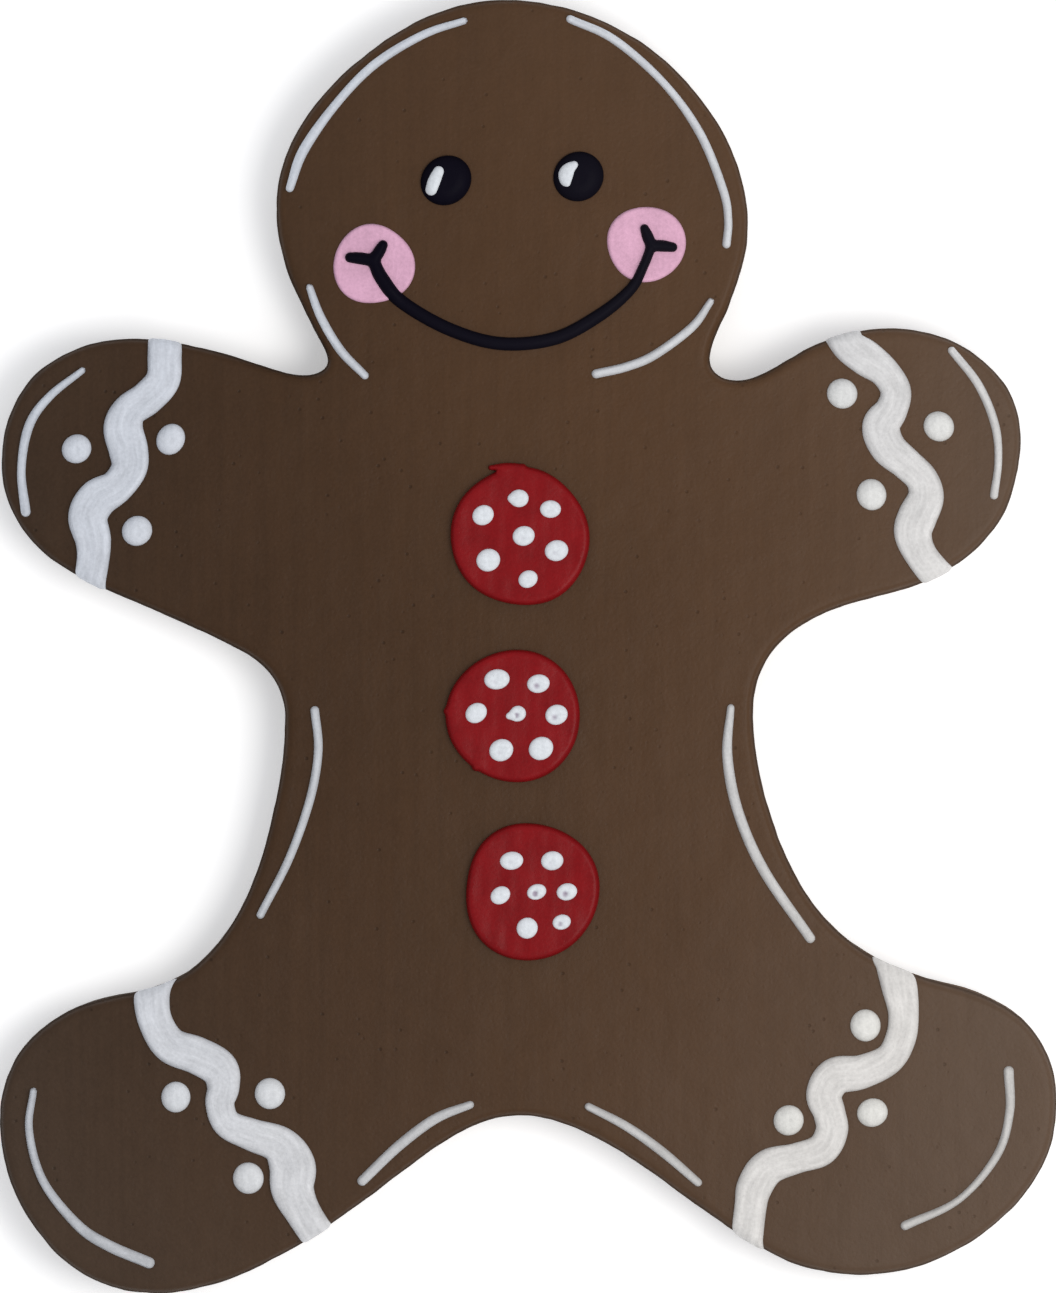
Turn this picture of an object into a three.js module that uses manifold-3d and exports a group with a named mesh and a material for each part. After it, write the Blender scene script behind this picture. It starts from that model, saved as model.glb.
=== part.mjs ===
/**
 * Gingerbread man: a flat biscuit cut from rolled dough, decorated with piped icing.
 *
 * The biscuit lies on its flat back with the decorated face up. Sizes are millimetres. +Z is up,
 * +Y runs from the feet to the head, and the origin is on the table under the middle of the
 * biscuit's outline. Left is -X and right is +X, as seen by someone who looks down at the face.
 */
import * as THREE from "three";
import { mergeVertices } from "three/addons/utils/BufferGeometryUtils.js";
import Module from "manifold-3d";

const wasm = await Module();
wasm.setup();

// ---- Driving dimensions -------------------------------------------------------------------

/** The baked dough: its thickness, and how its upper edge rounds over in plan and in height. */
const DOUGH = { thickness: 8, shoulderWidth: 1, shoulderDrop: 1.6, footTuck: 0.8, steps: 4 };

/** How far each kind of icing stands above what it lies on. */
const HEIGHT = { band: 0.9, line: 0.7, dot: 1, button: 1.2, spot: 0.5, cheek: 0.5, eye: 1.3, glint: 0.35, mouth: 1 };

/** The clear space kept where one piece is cut to fit round another. */
const GAP = 0.3;

const TOP = DOUGH.thickness;

const FINISH = {
  gingerbread: { color: 0x4b3a2d, roughness: 0.62 },
  whiteIcing: { color: 0xd6d6d4, roughness: 0.55 },
  redIcing: { color: 0x7d2022, roughness: 0.5 },
  pinkIcing: { color: 0xd6a4be, roughness: 0.6 },
  blackIcing: { color: 0x14121b, roughness: 0.35 },
};

// ---- The biscuit's outline ----------------------------------------------------------------

/** Landmarks of the cutter's outline, clockwise from the crown: x, y and heading in degrees. */
const OUTLINE = [
  ["crown", -2.4, 75, 0],
  ["brow right", 12.7, 70.4, 327],
  ["temple right", 19.5, 64.2, 310],
  ["head right", 25.5, 48.8, 270],
  ["jaw right", 23.2, 39.3, 248],
  ["neck right", 21.1, 33.3, 269],
  ["neck right, lowest", 24.1, 30.9, 0],
  ["shoulder right", 29.9, 33.1, 32],
  ["arm right, highest", 41.8, 36.9, 0],
  ["fingers right", 49.3, 35.4, 335],
  ["hand right", 57.2, 24.4, 270],
  ["palm right", 55.5, 16.1, 246],
  ["wrist right", 49.4, 9.3, 214],
  ["armpit right", 41.6, 6.1, 194],
  ["ribs right", 28.7, -0.1, 229],
  ["waist right", 26.1, -7.7, 270],
  ["flank right", 29, -22.1, 290],
  ["thigh right", 36.5, -33.5, 319],
  ["hip right", 47.3, -38.8, 346],
  ["knee right", 57.1, -43, 320],
  ["foot right", 61.3, -52.6, 270],
  ["heel right", 59.8, -59.9, 244],
  ["sole right, outer", 46.2, -71.6, 200],
  ["sole right", 38.9, -72.9, 180],
  ["sole right, inner", 28.4, -70.5, 153],
  ["leg right", 18.8, -64.2, 145],
  ["crotch right", 5.1, -55.7, 159],
  ["crotch", -1, -54.4, 180],
  ["leg left", -13.6, -60.2, 217],
  ["sole left, inner", -30.9, -71.8, 206],
  ["sole left", -43.3, -75, 180],
  ["sole left, outer", -52.7, -72.1, 144],
  ["heel left", -58.6, -65.2, 119],
  ["foot left", -61.3, -55, 90],
  ["knee left", -59.3, -47.6, 58],
  ["hip left", -47.4, -40.5, 9],
  ["thigh left", -39.3, -37.6, 36],
  ["flank left", -30.2, -21.9, 75],
  ["waist left", -28.2, -8.5, 90],
  ["ribs left", -29.3, -4, 120],
  ["armpit left", -36.2, 1, 154],
  ["wrist left", -47.1, 5.8, 156],
  ["palm left", -57, 11.7, 135],
  ["hand left", -61.1, 21.3, 90],
  ["fingers left", -56.4, 32.2, 40],
  ["arm left, highest", -45.6, 35.7, 0],
  ["shoulder left", -31.8, 32.9, 343],
  ["neck left, lowest", -25.9, 31.5, 0],
  ["neck left", -23.2, 33.2, 90],
  ["jaw left", -24.3, 35.9, 118],
  ["head left", -29.2, 50.6, 90],
  ["temple left", -26.5, 60.2, 59],
  ["brow left", -20.6, 67.2, 41],
  ["crown left", -13, 72.4, 28],
];

// ---- The icing's places -------------------------------------------------------------------
// A stroke of icing is a list of stations along its middle: x, y and half its width there.

const BANDS = {
  arm_left: [
    [-42, 37, 2], [-42.1, 33.7, 2], [-42.3, 30.9, 2], [-44.1, 28.8, 2], [-46.2, 27.3, 2],
    [-46.9, 25.3, 2.3], [-46.3, 22.8, 2.3], [-46.2, 20.7, 2.1], [-47.7, 18.5, 2],
    [-49.9, 17.1, 2.3], [-51, 15, 2.3], [-50.4, 12.4, 2.1], [-50.4, 10, 1.9], [-51, 6.6, 1.9],
  ],
  arm_right: [
    [36, 37.6, 2.3], [37.1, 35, 2], [39.2, 33.4, 2.1], [41.3, 31.8, 1.8], [42.6, 29.6, 1.8],
    [42.1, 27.4, 1.9], [40.9, 25.5, 2.2], [41.7, 23.1, 2.1], [43.8, 21.2, 1.9], [45.6, 19.4, 1.9],
    [46.1, 17.3, 2.1], [45.1, 15, 2.3], [44.6, 13.1, 2.2], [45.6, 10.5, 1.9], [48.3, 7.1, 2],
  ],
  leg_left: [
    [-43.2, -37.5, 2.2], [-43.6, -40.8, 2.1], [-43.1, -43.6, 2], [-41.4, -46.2, 2.1],
    [-38.3, -47.4, 2.2], [-35.8, -48.9, 2.2], [-35.3, -51, 1.9], [-35.7, -53, 1.7],
    [-34.8, -55.3, 1.7], [-31.9, -56.6, 1.9], [-28.7, -57.8, 2.2], [-27.3, -60.2, 2.7],
    [-27.3, -62.8, 2.5], [-26.1, -65.5, 2.1], [-23.9, -68.9, 2],
  ],
  leg_right: [
    [42.2, -36.1, 2.1], [43, -39.3, 2.1], [43.5, -42.4, 1.8], [43.2, -45.3, 1.8],
    [41.8, -47.8, 1.8], [38.6, -49.3, 2], [35.6, -49.8, 2.2], [34.3, -51.9, 2.1],
    [34.9, -54, 1.9], [35.2, -56.1, 1.9], [34, -58.3, 1.9], [31.1, -59.3, 1.8],
    [27.9, -60.3, 2.1], [26.3, -62.5, 2.1], [25.8, -64.8, 1.9], [25.2, -70, 1.9],
  ],
};

const LINES = {
  head_left: [[-7.4, 72.5, 0.41], [-12.1, 70.9, 0.49], [-17.7, 67.5, 0.53], [-22.2, 62.9, 0.52],
    [-26, 57.5, 0.61], [-27.6, 53.1, 0.49]],
  head_right: [[4.9, 72.7, 0.49], [10, 70.3, 0.51], [15.7, 65.3, 0.47], [19.9, 59.5, 0.52],
    [22.6, 52.9, 0.51], [23.2, 49.4, 0.49], [23, 46.6, 0.5]],
  chin_left: [[-25.3, 41.6, 0.43], [-24, 38.1, 0.54], [-21.7, 34.3, 0.54], [-18.9, 31.4, 0.47]],
  chin_right: [[21.2, 40, 0.4], [19, 37, 0.52], [14.7, 33.8, 0.54], [11.4, 32.4, 0.54], [7.9, 31.6, 0.54]],
  hand_left: [[-51.6, 32, 0.38], [-55.4, 29, 0.5], [-57.8, 25.6, 0.56], [-58.7, 20.5, 0.51],
    [-58.2, 15.6, 0.59]],
  hand_right: [[49.1, 34.3, 0.48], [52.2, 30.3, 0.51], [54.1, 25.7, 0.51], [54.5, 21.6, 0.46],
    [54, 17.5, 0.49]],
  waist_left: [[-24.7, -7.4, 0.52], [-24.3, -12, 0.52], [-25.2, -17.5, 0.52], [-27.6, -24.4, 0.5],
    [-31, -31.1, 0.47]],
  waist_right: [[23.5, -7.1, 0.44], [23.1, -12.6, 0.61], [24.3, -19, 0.63], [27.3, -25.9, 0.64],
    [32.7, -33.8, 0.59]],
  foot_left: [[-57.3, -51.5, 0.41], [-57.8, -56.1, 0.47], [-56.2, -61.9, 0.51], [-52.2, -67, 0.61],
    [-48.6, -69.4, 0.68], [-43.9, -71.4, 0.67]],
  foot_right: [[55.7, -49.2, 0.61], [55.8, -54, 0.53], [54.3, -59, 0.49], [49.9, -64.1, 0.43],
    [43.7, -67.1, 0.55]],
  crotch_left: [[-6.7, -53.1, 0.47], [-10.7, -54.7, 0.6], [-14.9, -57.8, 0.62], [-19.2, -61.9, 0.6]],
  crotch_right: [[7, -53.3, 0.45], [11.4, -55.6, 0.54], [15.5, -58.5, 0.57], [19.7, -62.1, 0.49]],
};

/** The smile, from corner to corner, and the two short ticks that fork from each corner. */
const MOUTH = {
  smile: [[-17.9, 44.7, 0.72], [-16.9, 42.6, 0.84], [-14.6, 39.9, 0.82], [-9.2, 36.8, 0.8],
    [-3.2, 35.1, 0.8], [3.1, 35.7, 0.8], [8.3, 38.4, 0.78], [11.9, 41.4, 0.66], [13.4, 44.1, 0.58],
    [14.3, 46.4, 0.6]],
  ticks: [
    [[-17.9, 44.7, 0.72], [-19.4, 44.95, 0.73], [-20.6, 45.05, 0.62]],
    [[-17.9, 44.7, 0.72], [-17.2, 45.8, 0.71], [-16.8, 46.5, 0.59]],
    [[14.3, 46.4, 0.62], [13.9, 47.4, 0.7], [13.5, 48.4, 0.54]],
    [[14.3, 46.4, 0.62], [15.5, 46.4, 0.7], [16.75, 46.25, 0.58]],
  ],
};

/** White strokes that lie on the eyes. */
const GLINTS = {
  left: [[-11.2, 52.95, 0.66], [-10.85, 53.9, 0.72], [-10.35, 54.95, 0.6]],
  right: [[5.35, 55.75, 0.45], [4.75, 55.3, 0.72], [4.4, 54.7, 0.88], [4.35, 54, 0.7], [4.5, 53.65, 0.45]],
};

// A round of icing is its centre x, y, its longer and shorter radius, and the tilt of the longer.

const EYES = {
  left: [-9.5, 54, 3.1, 2.83, 40],
  right: [5.85, 54.45, 3.02, 2.88, 38],
};

/** Each cheek's round, and its hand-made unevenness: lobes, share of the radius, and phase. */
const CHEEKS = {
  left: { round: [-17.9, 44.25, 4.75, 4.6, 0], lobes: [[3, 0.032, -50], [5, 0.005, 112]] },
  right: { round: [13.7, 46.65, 4.6, 4.4, 0], lobes: [[3, 0.021, 68], [4, 0.007, -120]] },
};

/** Each button's round, and its unevenness. */
const BUTTONS = {
  top: { round: [-0.9, 12.7, 8.1, 8, 0], lobes: [[2, 0.013, -106], [3, 0.011, -127], [5, 0.008, 47]] },
  middle: { round: [-1.65, -8.05, 7.8, 7.7, 0], lobes: [[3, 0.016, 178]] },
  bottom: { round: [0.4, -28.4, 7.97, 7.88, 0], lobes: [[2, 0.022, 151], [3, 0.021, 9], [4, 0.011, 141]] },
};

const BUTTON_SPOTS = {
  top: [
    [-1.2, 17.2, 1.22, 1.01, 6], [2.6, 15.9, 1.25, 1.05, 1], [-5.2, 15.2, 1.31, 1.16, 32],
    [-0.5, 12.8, 1.32, 1.17, 15], [3.3, 11.1, 1.4, 1.24, 15], [-4.6, 10, 1.43, 1.33, 26],
    [0, 7.8, 1.18, 1.02, 28],
  ],
  middle: [
    [-3.6, -3.8, 1.51, 1.2, 8], [1.2, -4.3, 1.35, 1.1, 10], [-6, -7.7, 1.34, 1.14, 36],
    [-1.4, -7.8, 1.12, 0.93, 17], [3.3, -7.9, 1.34, 1.19, 19], [1.5, -11.8, 1.49, 1.34, 33],
    [-3.1, -12, 1.45, 1.3, 26],
  ],
  bottom: [
    [-1.9, -24.8, 1.39, 1.08, 8], [2.8, -24.8, 1.33, 1.13, 9], [1, -28.4, 1.17, 0.92, 19],
    [4.5, -28.4, 1.23, 1.02, 13], [-3.2, -28.8, 1.23, 1.02, 33], [3.9, -31.9, 1.1, 0.9, 15],
    [-0.1, -32.6, 1.28, 1.23, 44],
  ],
};

const DOTS = {
  arm_left: [[-52.3, 22.9, 1.79, 1.69, 38], [-41.4, 24, 1.9, 1.65, 61], [-45.3, 13.4, 1.84, 1.74, 42]],
  arm_right: [[36.4, 29.3, 1.82, 1.77, 146], [47.6, 25.5, 1.85, 1.75, 142], [39.8, 17.6, 1.87, 1.76, 105]],
  leg_left: [[-40.8, -52.2, 1.83, 1.73, 85], [-29.9, -51.8, 1.85, 1.8, 92],
    [-32.4, -61.6, 1.87, 1.82, 105]],
  leg_right: [[39.1, -43.9, 1.91, 1.8, 93], [39.9, -54, 1.84, 1.69, 19], [30.2, -54.9, 1.82, 1.77, 53]],
};

// ---- Solids from geometry -----------------------------------------------------------------

/** Merges a closed geometry's shared vertices and drops the faces that close up to nothing. */
function weld(geometry) {
  geometry.deleteAttribute("normal");
  geometry.deleteAttribute("uv");
  const merged = mergeVertices(geometry);
  const corners = Array.from(merged.index.array);
  const kept = [];
  for (let i = 0; i < corners.length; i += 3) {
    const [a, b, c] = corners.slice(i, i + 3);
    if (a !== b && b !== c && c !== a) {
      kept.push(a, b, c);
    }
  }
  merged.setIndex(kept);
  return merged;
}

/** A solid that can be joined and cut. */
function solidOf(geometry) {
  const welded = weld(geometry);
  const vertProperties = welded.getAttribute("position").array;
  const triVerts = new Uint32Array(welded.index.array);
  return new wasm.Manifold(new wasm.Mesh({ numProp: 3, vertProperties, triVerts }));
}

/** The geometry of a solid that has been joined or cut. */
function geometryOf(solid) {
  const { vertProperties, triVerts } = solid.getMesh();
  const geometry = new THREE.BufferGeometry();
  geometry.setAttribute("position", new THREE.BufferAttribute(vertProperties, 3));
  geometry.setIndex(new THREE.BufferAttribute(triVerts, 1));
  return geometry;
}

/** A block as wide as the object, between two heights, for flat cuts. */
function layer(bottom, top) {
  const reach = 400;
  const block = new THREE.BoxGeometry(reach, reach, top - bottom);
  block.translate(0, 0, (bottom + top) / 2);
  return solidOf(block);
}

// ---- The dough ----------------------------------------------------------------------------

/** Length of a smooth curve's handle over its chord, from its two turning angles (Hobby). */
function handleShare(near, far) {
  const bend =
    Math.SQRT2 *
    (Math.sin(near) - Math.sin(far) / 16) *
    (Math.sin(far) - Math.sin(near) / 16) *
    (Math.cos(near) - Math.cos(far));
  const slack = 1 + ((Math.sqrt(5) - 1) * Math.cos(near) + (3 - Math.sqrt(5)) * Math.cos(far)) / 2;
  return (2 + bend) / (3 * slack);
}

/** The signed turn from one direction to another, in radians. */
function turnBetween(from, to) {
  return Math.atan2(Math.sin(to - from), Math.cos(to - from));
}

/** A closed shape that passes each landmark in its heading. */
function smoothOutline(landmarks) {
  const shape = new THREE.Shape();
  shape.moveTo(landmarks[0][1], landmarks[0][2]);
  landmarks.forEach(([, x, y, heading], i) => {
    const [, nextX, nextY, nextHeading] = landmarks[(i + 1) % landmarks.length];
    const start = THREE.MathUtils.degToRad(heading);
    const end = THREE.MathUtils.degToRad(nextHeading);
    const chord = Math.hypot(nextX - x, nextY - y);
    const direction = Math.atan2(nextY - y, nextX - x);
    const leaving = turnBetween(direction, start);
    const arriving = turnBetween(end, direction);
    const out = chord * handleShare(leaving, arriving);
    const back = chord * handleShare(arriving, leaving);
    shape.bezierCurveTo(
      x + out * Math.cos(start),
      y + out * Math.sin(start),
      nextX - back * Math.cos(end),
      nextY - back * Math.sin(end),
      nextX,
      nextY,
    );
  });
  return shape;
}

/** The dough's form with its top raised by lift: flat above, rounded over at its edge. */
function doughForm(lift) {
  const { thickness, shoulderWidth, shoulderDrop, footTuck, steps } = DOUGH;
  const wall = thickness + footTuck - 2 * shoulderDrop;
  const form = new THREE.ExtrudeGeometry(smoothOutline(OUTLINE), {
    depth: wall,
    curveSegments: steps,
    bevelThickness: shoulderDrop,
    bevelSize: shoulderWidth,
    bevelOffset: -shoulderWidth,
    bevelSegments: 3,
  });
  form.translate(0, 0, shoulderDrop - footTuck + lift);
  return solidOf(form);
}

/** The whole biscuit, cut flat underneath. */
function biscuit() {
  const below = layer(-DOUGH.thickness, 0);
  return geometryOf(doughForm(0).subtract(below));
}

// ---- Strokes of icing ---------------------------------------------------------------------

/** The middle of a stroke as a curve whose third coordinate is half the stroke's width. */
function strokeCurve(stations) {
  const points = stations.map((station) => new THREE.Vector3(...station));
  return new THREE.CatmullRomCurve3(points, false, "catmullrom");
}

/** The unit direction along a stroke in plan. */
function planTangent(curve, share) {
  const tangent = curve.getTangentAt(share);
  return new THREE.Vector2(tangent.x, tangent.y).normalize();
}

/**
 * A piped line: a capsule bent along the stroke, round on top and at its ends and flat
 * underneath, where it lies at the height base. Margin widens it all round.
 */
function bead(stations, { base, height, steps, sides, margin = 0 }) {
  const curve = strokeCurve(stations);
  const capsule = new THREE.CapsuleGeometry(1, 1, 2, sides, steps);
  const place = capsule.getAttribute("position");
  for (let i = 0; i < place.count; i += 1) {
    const along = THREE.MathUtils.clamp(place.getY(i), -0.5, 0.5);
    const share = along + 0.5;
    const middle = curve.getPointAt(share);
    const tangent = planTangent(curve, share);
    const half = middle.z + margin;
    const beyond = (place.getY(i) - along) * half;
    const aside = place.getX(i) * half;
    const x = middle.x + tangent.x * beyond + tangent.y * aside;
    const y = middle.y + tangent.y * beyond - tangent.x * aside;
    place.setXYZ(i, x, y, base + Math.max(place.getZ(i), 0) * height);
  }
  return weld(capsule);
}

/** One edge of a stroke, without the loop that it would make on the inside of a tight bend. */
function strokeEdge(curve, side, count) {
  const middles = curve.getSpacedPoints(count);
  const edge = middles.map((middle, i) => {
    const tangent = planTangent(curve, i / count);
    const aside = side * middle.z;
    return new THREE.Vector2(middle.x - tangent.y * aside, middle.y + tangent.x * aside);
  });
  const slack = 0.97;
  const isClear = (point) =>
    middles.every((middle) => Math.hypot(point.x - middle.x, point.y - middle.y) > slack * middle.z);
  return edge.filter(isClear);
}

/**
 * A wide band of icing across an arm or a leg. It lies flat on the dough, and at both ends it
 * follows the dough's rounded edge down to the outline.
 */
function band(stations) {
  const curve = strokeCurve(stations);
  const pace = 1.1;
  const count = Math.round(curve.getLength() / pace);
  const leftEdge = strokeEdge(curve, 1, count);
  const rightEdge = strokeEdge(curve, -1, count);
  const shape = new THREE.Shape([...rightEdge, ...leftEdge.reverse()]);
  const low = TOP + GAP - DOUGH.shoulderDrop;
  const rim = 0.45;
  const ribbon = new THREE.ExtrudeGeometry(shape, {
    depth: TOP + HEIGHT.band - low,
    bevelThickness: rim,
    bevelSize: rim,
    bevelOffset: -rim,
    bevelSegments: 1,
  });
  ribbon.translate(0, 0, low - rim);
  const skin = solidOf(ribbon).subtract(layer(-TOP, low)).intersect(doughForm(HEIGHT.band));
  const bed = doughForm(GAP).subtract(layer(TOP, 2 * TOP));
  return geometryOf(skin.subtract(bed));
}

// ---- Rounds of icing ----------------------------------------------------------------------

/** A disc of icing with a flat base and a rim that rounds over to a flat top. */
function disc([x, y, long, short, tilt], { base, height, rim, sides, lobes = [] }) {
  const arcSteps = 3;
  const profile = [new THREE.Vector2(0, 0)];
  for (let i = 0; i <= arcSteps; i += 1) {
    const angle = (i / arcSteps) * (Math.PI / 2);
    profile.push(new THREE.Vector2(1 - rim + rim * Math.cos(angle), Math.sin(angle)));
  }
  profile.push(new THREE.Vector2(0, 1));
  const round = new THREE.LatheGeometry(profile, sides);
  round.rotateX(Math.PI / 2);
  const place = round.getAttribute("position");
  for (let i = 0; i < place.count; i += 1) {
    const angle = Math.atan2(place.getY(i), place.getX(i));
    const swell = lobes.reduce(
      (sum, [count, share, phase]) =>
        sum + share * Math.cos(count * angle - THREE.MathUtils.degToRad(phase)),
      1,
    );
    place.setXYZ(i, place.getX(i) * swell, place.getY(i) * swell, place.getZ(i));
  }
  round.scale(long, short, height);
  round.rotateZ(THREE.MathUtils.degToRad(tilt));
  round.translate(x, y, base);
  return weld(round);
}

/** The whole mouth: the smile and the ticks at its corners, as one piece. */
function mouth(height, margin) {
  const tickForm = { base: TOP, height, steps: 3, sides: 6, margin };
  const smileForm = { base: TOP, height, steps: 20, sides: 8, margin };
  return MOUTH.ticks
    .map((stations) => solidOf(bead(stations, tickForm)))
    .reduce((joined, tick) => joined.add(tick), solidOf(bead(MOUTH.smile, smileForm)));
}

/** A thin pink cheek, cut clear of the mouth where the mouth runs into it. */
function cheek({ round, lobes }) {
  const form = disc(round, { base: TOP, height: HEIGHT.cheek, rim: 0.08, sides: 28, lobes });
  const tall = 8 * HEIGHT.cheek;
  return geometryOf(solidOf(form).subtract(mouth(tall, GAP)));
}

// ---- The whole gingerbread man ------------------------------------------------------------

const gingerbreadMan = new THREE.Group();

const materials = Object.fromEntries(
  Object.entries(FINISH).map(([name, look]) => [
    name,
    new THREE.MeshStandardMaterial({ ...look, metalness: 0 }),
  ]),
);

/** Adds one named piece to the gingerbread man. */
function addPiece(name, geometry, material) {
  geometry.computeVertexNormals();
  const piece = new THREE.Mesh(geometry, material);
  piece.name = name;
  gingerbreadMan.add(piece);
}

addPiece("biscuit", biscuit(), materials.gingerbread);

for (const [limb, stations] of Object.entries(BANDS)) {
  addPiece(`band_${limb}`, band(stations), materials.whiteIcing);
}

for (const [place, stations] of Object.entries(LINES)) {
  const line = bead(stations, { base: TOP, height: HEIGHT.line, steps: 10, sides: 6 });
  addPiece(`line_${place}`, line, materials.whiteIcing);
}

for (const [limb, rounds] of Object.entries(DOTS)) {
  rounds.forEach((round, i) => {
    const dot = disc(round, { base: TOP, height: HEIGHT.dot, rim: 0.8, sides: 14 });
    addPiece(`dot_${limb}_${i + 1}`, dot, materials.whiteIcing);
  });
}

for (const [place, { round, lobes }] of Object.entries(BUTTONS)) {
  const button = disc(round, { base: TOP, height: HEIGHT.button, rim: 0.12, sides: 32, lobes });
  addPiece(`button_${place}`, button, materials.redIcing);
  BUTTON_SPOTS[place].forEach((spotRound, i) => {
    const base = TOP + HEIGHT.button;
    const spot = disc(spotRound, { base, height: HEIGHT.spot, rim: 0.7, sides: 10 });
    addPiece(`button_${place}_spot_${i + 1}`, spot, materials.whiteIcing);
  });
}

for (const [side, round] of Object.entries(EYES)) {
  const eye = disc(round, { base: TOP, height: HEIGHT.eye, rim: 0.25, sides: 24 });
  addPiece(`eye_${side}`, eye, materials.blackIcing);
  const base = TOP + HEIGHT.eye;
  const glint = bead(GLINTS[side], { base, height: HEIGHT.glint, steps: 5, sides: 6 });
  addPiece(`eye_glint_${side}`, glint, materials.whiteIcing);
}

for (const [side, shape] of Object.entries(CHEEKS)) {
  addPiece(`cheek_${side}`, cheek(shape), materials.pinkIcing);
}

addPiece("mouth", geometryOf(mouth(HEIGHT.mouth, 0)), materials.blackIcing);

export default gingerbreadMan;
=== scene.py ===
"""Dresses the gingerbread man: the baked dough, the piped icing, and the studio around them.

Sizes are millimetres, with +X to the right, +Y to the head and +Z up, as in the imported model. They
become metres where a mesh, a light or the camera is made. In plan means seen from above.
"""

import logging
import math
from abc import ABC, abstractmethod
from collections import defaultdict
from dataclasses import dataclass, field, replace
from enum import Enum
from typing import Any, Mapping, Sequence

import bpy
import numpy as np
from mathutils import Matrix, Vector, noise
from mathutils.geometry import delaunay_2d_cdt
from mathutils.kdtree import KDTree


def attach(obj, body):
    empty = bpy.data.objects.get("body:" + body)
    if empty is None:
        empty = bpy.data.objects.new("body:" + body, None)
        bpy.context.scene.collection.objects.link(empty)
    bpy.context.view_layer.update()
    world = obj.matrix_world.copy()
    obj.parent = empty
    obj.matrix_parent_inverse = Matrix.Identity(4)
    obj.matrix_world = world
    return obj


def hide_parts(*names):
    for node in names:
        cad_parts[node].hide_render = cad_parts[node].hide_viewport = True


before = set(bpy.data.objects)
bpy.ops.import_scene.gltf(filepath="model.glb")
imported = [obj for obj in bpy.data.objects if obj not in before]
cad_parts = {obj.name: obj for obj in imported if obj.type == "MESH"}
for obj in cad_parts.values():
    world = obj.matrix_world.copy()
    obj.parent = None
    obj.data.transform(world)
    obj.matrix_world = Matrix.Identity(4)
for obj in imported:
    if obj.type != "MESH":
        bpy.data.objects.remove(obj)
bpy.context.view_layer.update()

log = logging.getLogger("gingerbread_man")

# A millimetre in metres, the one body of the model, where the sizes are written, and the mesh attribute
# that holds each point's place in the icing's flow.
MM = 0.001
BODY = "root"
FLOW = "flow"

Array = np.ndarray
Socket = bpy.types.NodeSocket
Material = bpy.types.Material
Pair = tuple[float, float]
Triple = tuple[float, float, float]
Colour = Triple
Station = Triple
Stations = Sequence[Station]
Landmark = tuple[str, float, float, float]


class Slot(Enum):
    """The record's material slots."""

    GINGERBREAD = "gingerbread"
    WHITE = "white_icing"
    RED = "red_icing"
    PINK = "pink_icing"
    BLACK = "black_icing"


# ---- Shader graphs --------------------------------------------------------------------------


@dataclass(frozen=True)
class Value:
    """A number from a shader socket, which adds Math nodes as it is used in an expression."""

    graph: "Graph"
    socket: Socket

    def _math(self, operation: str, *operands: "Value | float") -> "Value":
        """One Math node on the operands."""
        made = self.graph.node("ShaderNodeMath", {"operation": operation}, dict(enumerate(operands)))
        return Value(self.graph, made.outputs[0])

    def __add__(self, other: "Value | float") -> "Value":
        """self + other."""
        return self._math("ADD", self, other)

    __radd__ = __add__

    def __sub__(self, other: "Value | float") -> "Value":
        """self - other."""
        return self._math("SUBTRACT", self, other)

    def __rsub__(self, other: "Value | float") -> "Value":
        """other - self."""
        return self._math("SUBTRACT", other, self)

    def __mul__(self, other: "Value | float") -> "Value":
        """self * other."""
        return self._math("MULTIPLY", self, other)

    __rmul__ = __mul__

    def rise(self, start: float, end: float) -> "Value":
        """A smooth step.

        Args:
            start: the number at which the step leaves 0.
            end: the number at which it reaches 1, which may be the lower one.

        Returns:
            The step, from 0 to 1.
        """
        settings = {"interpolation_type": "SMOOTHSTEP"}
        sockets = {"Value": self, "From Min": min(start, end), "From Max": max(start, end)}
        made = self.graph.node("ShaderNodeMapRange", settings, sockets)
        step = Value(self.graph, made.outputs["Result"])
        return step if start < end else 1 - step


@dataclass(frozen=True)
class Clouds:
    """Soft noise: its clouds to a unit, how many finer layers it has, and how strong each of them is."""

    scale: float
    detail: float = 2.0
    rough: float = 0.5


@dataclass(frozen=True)
class Flecks:
    """Scattered round flecks: how many to a unit, and how far out, in cells, one begins and is full."""

    scale: float
    fade: Pair


@dataclass(frozen=True)
class Oval:
    """A soft-edged oval in plan, or all that lies outside one.

    Attributes:
        x: where its middle is along X.
        y: where that is along Y.
        flatness: how much a squared distance along Y counts beside one along X.
        fade: the squared distances from the middle at which the mask is 0 and 1.
    """

    x: float
    y: float
    flatness: float
    fade: Pair

    def mask(self, x: Value, y: Value) -> Value:
        """The mask at each place, from 0 to 1."""
        across, along = x - self.x, y - self.y
        return (across * across + along * along * self.flatness).rise(*self.fade)


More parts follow.
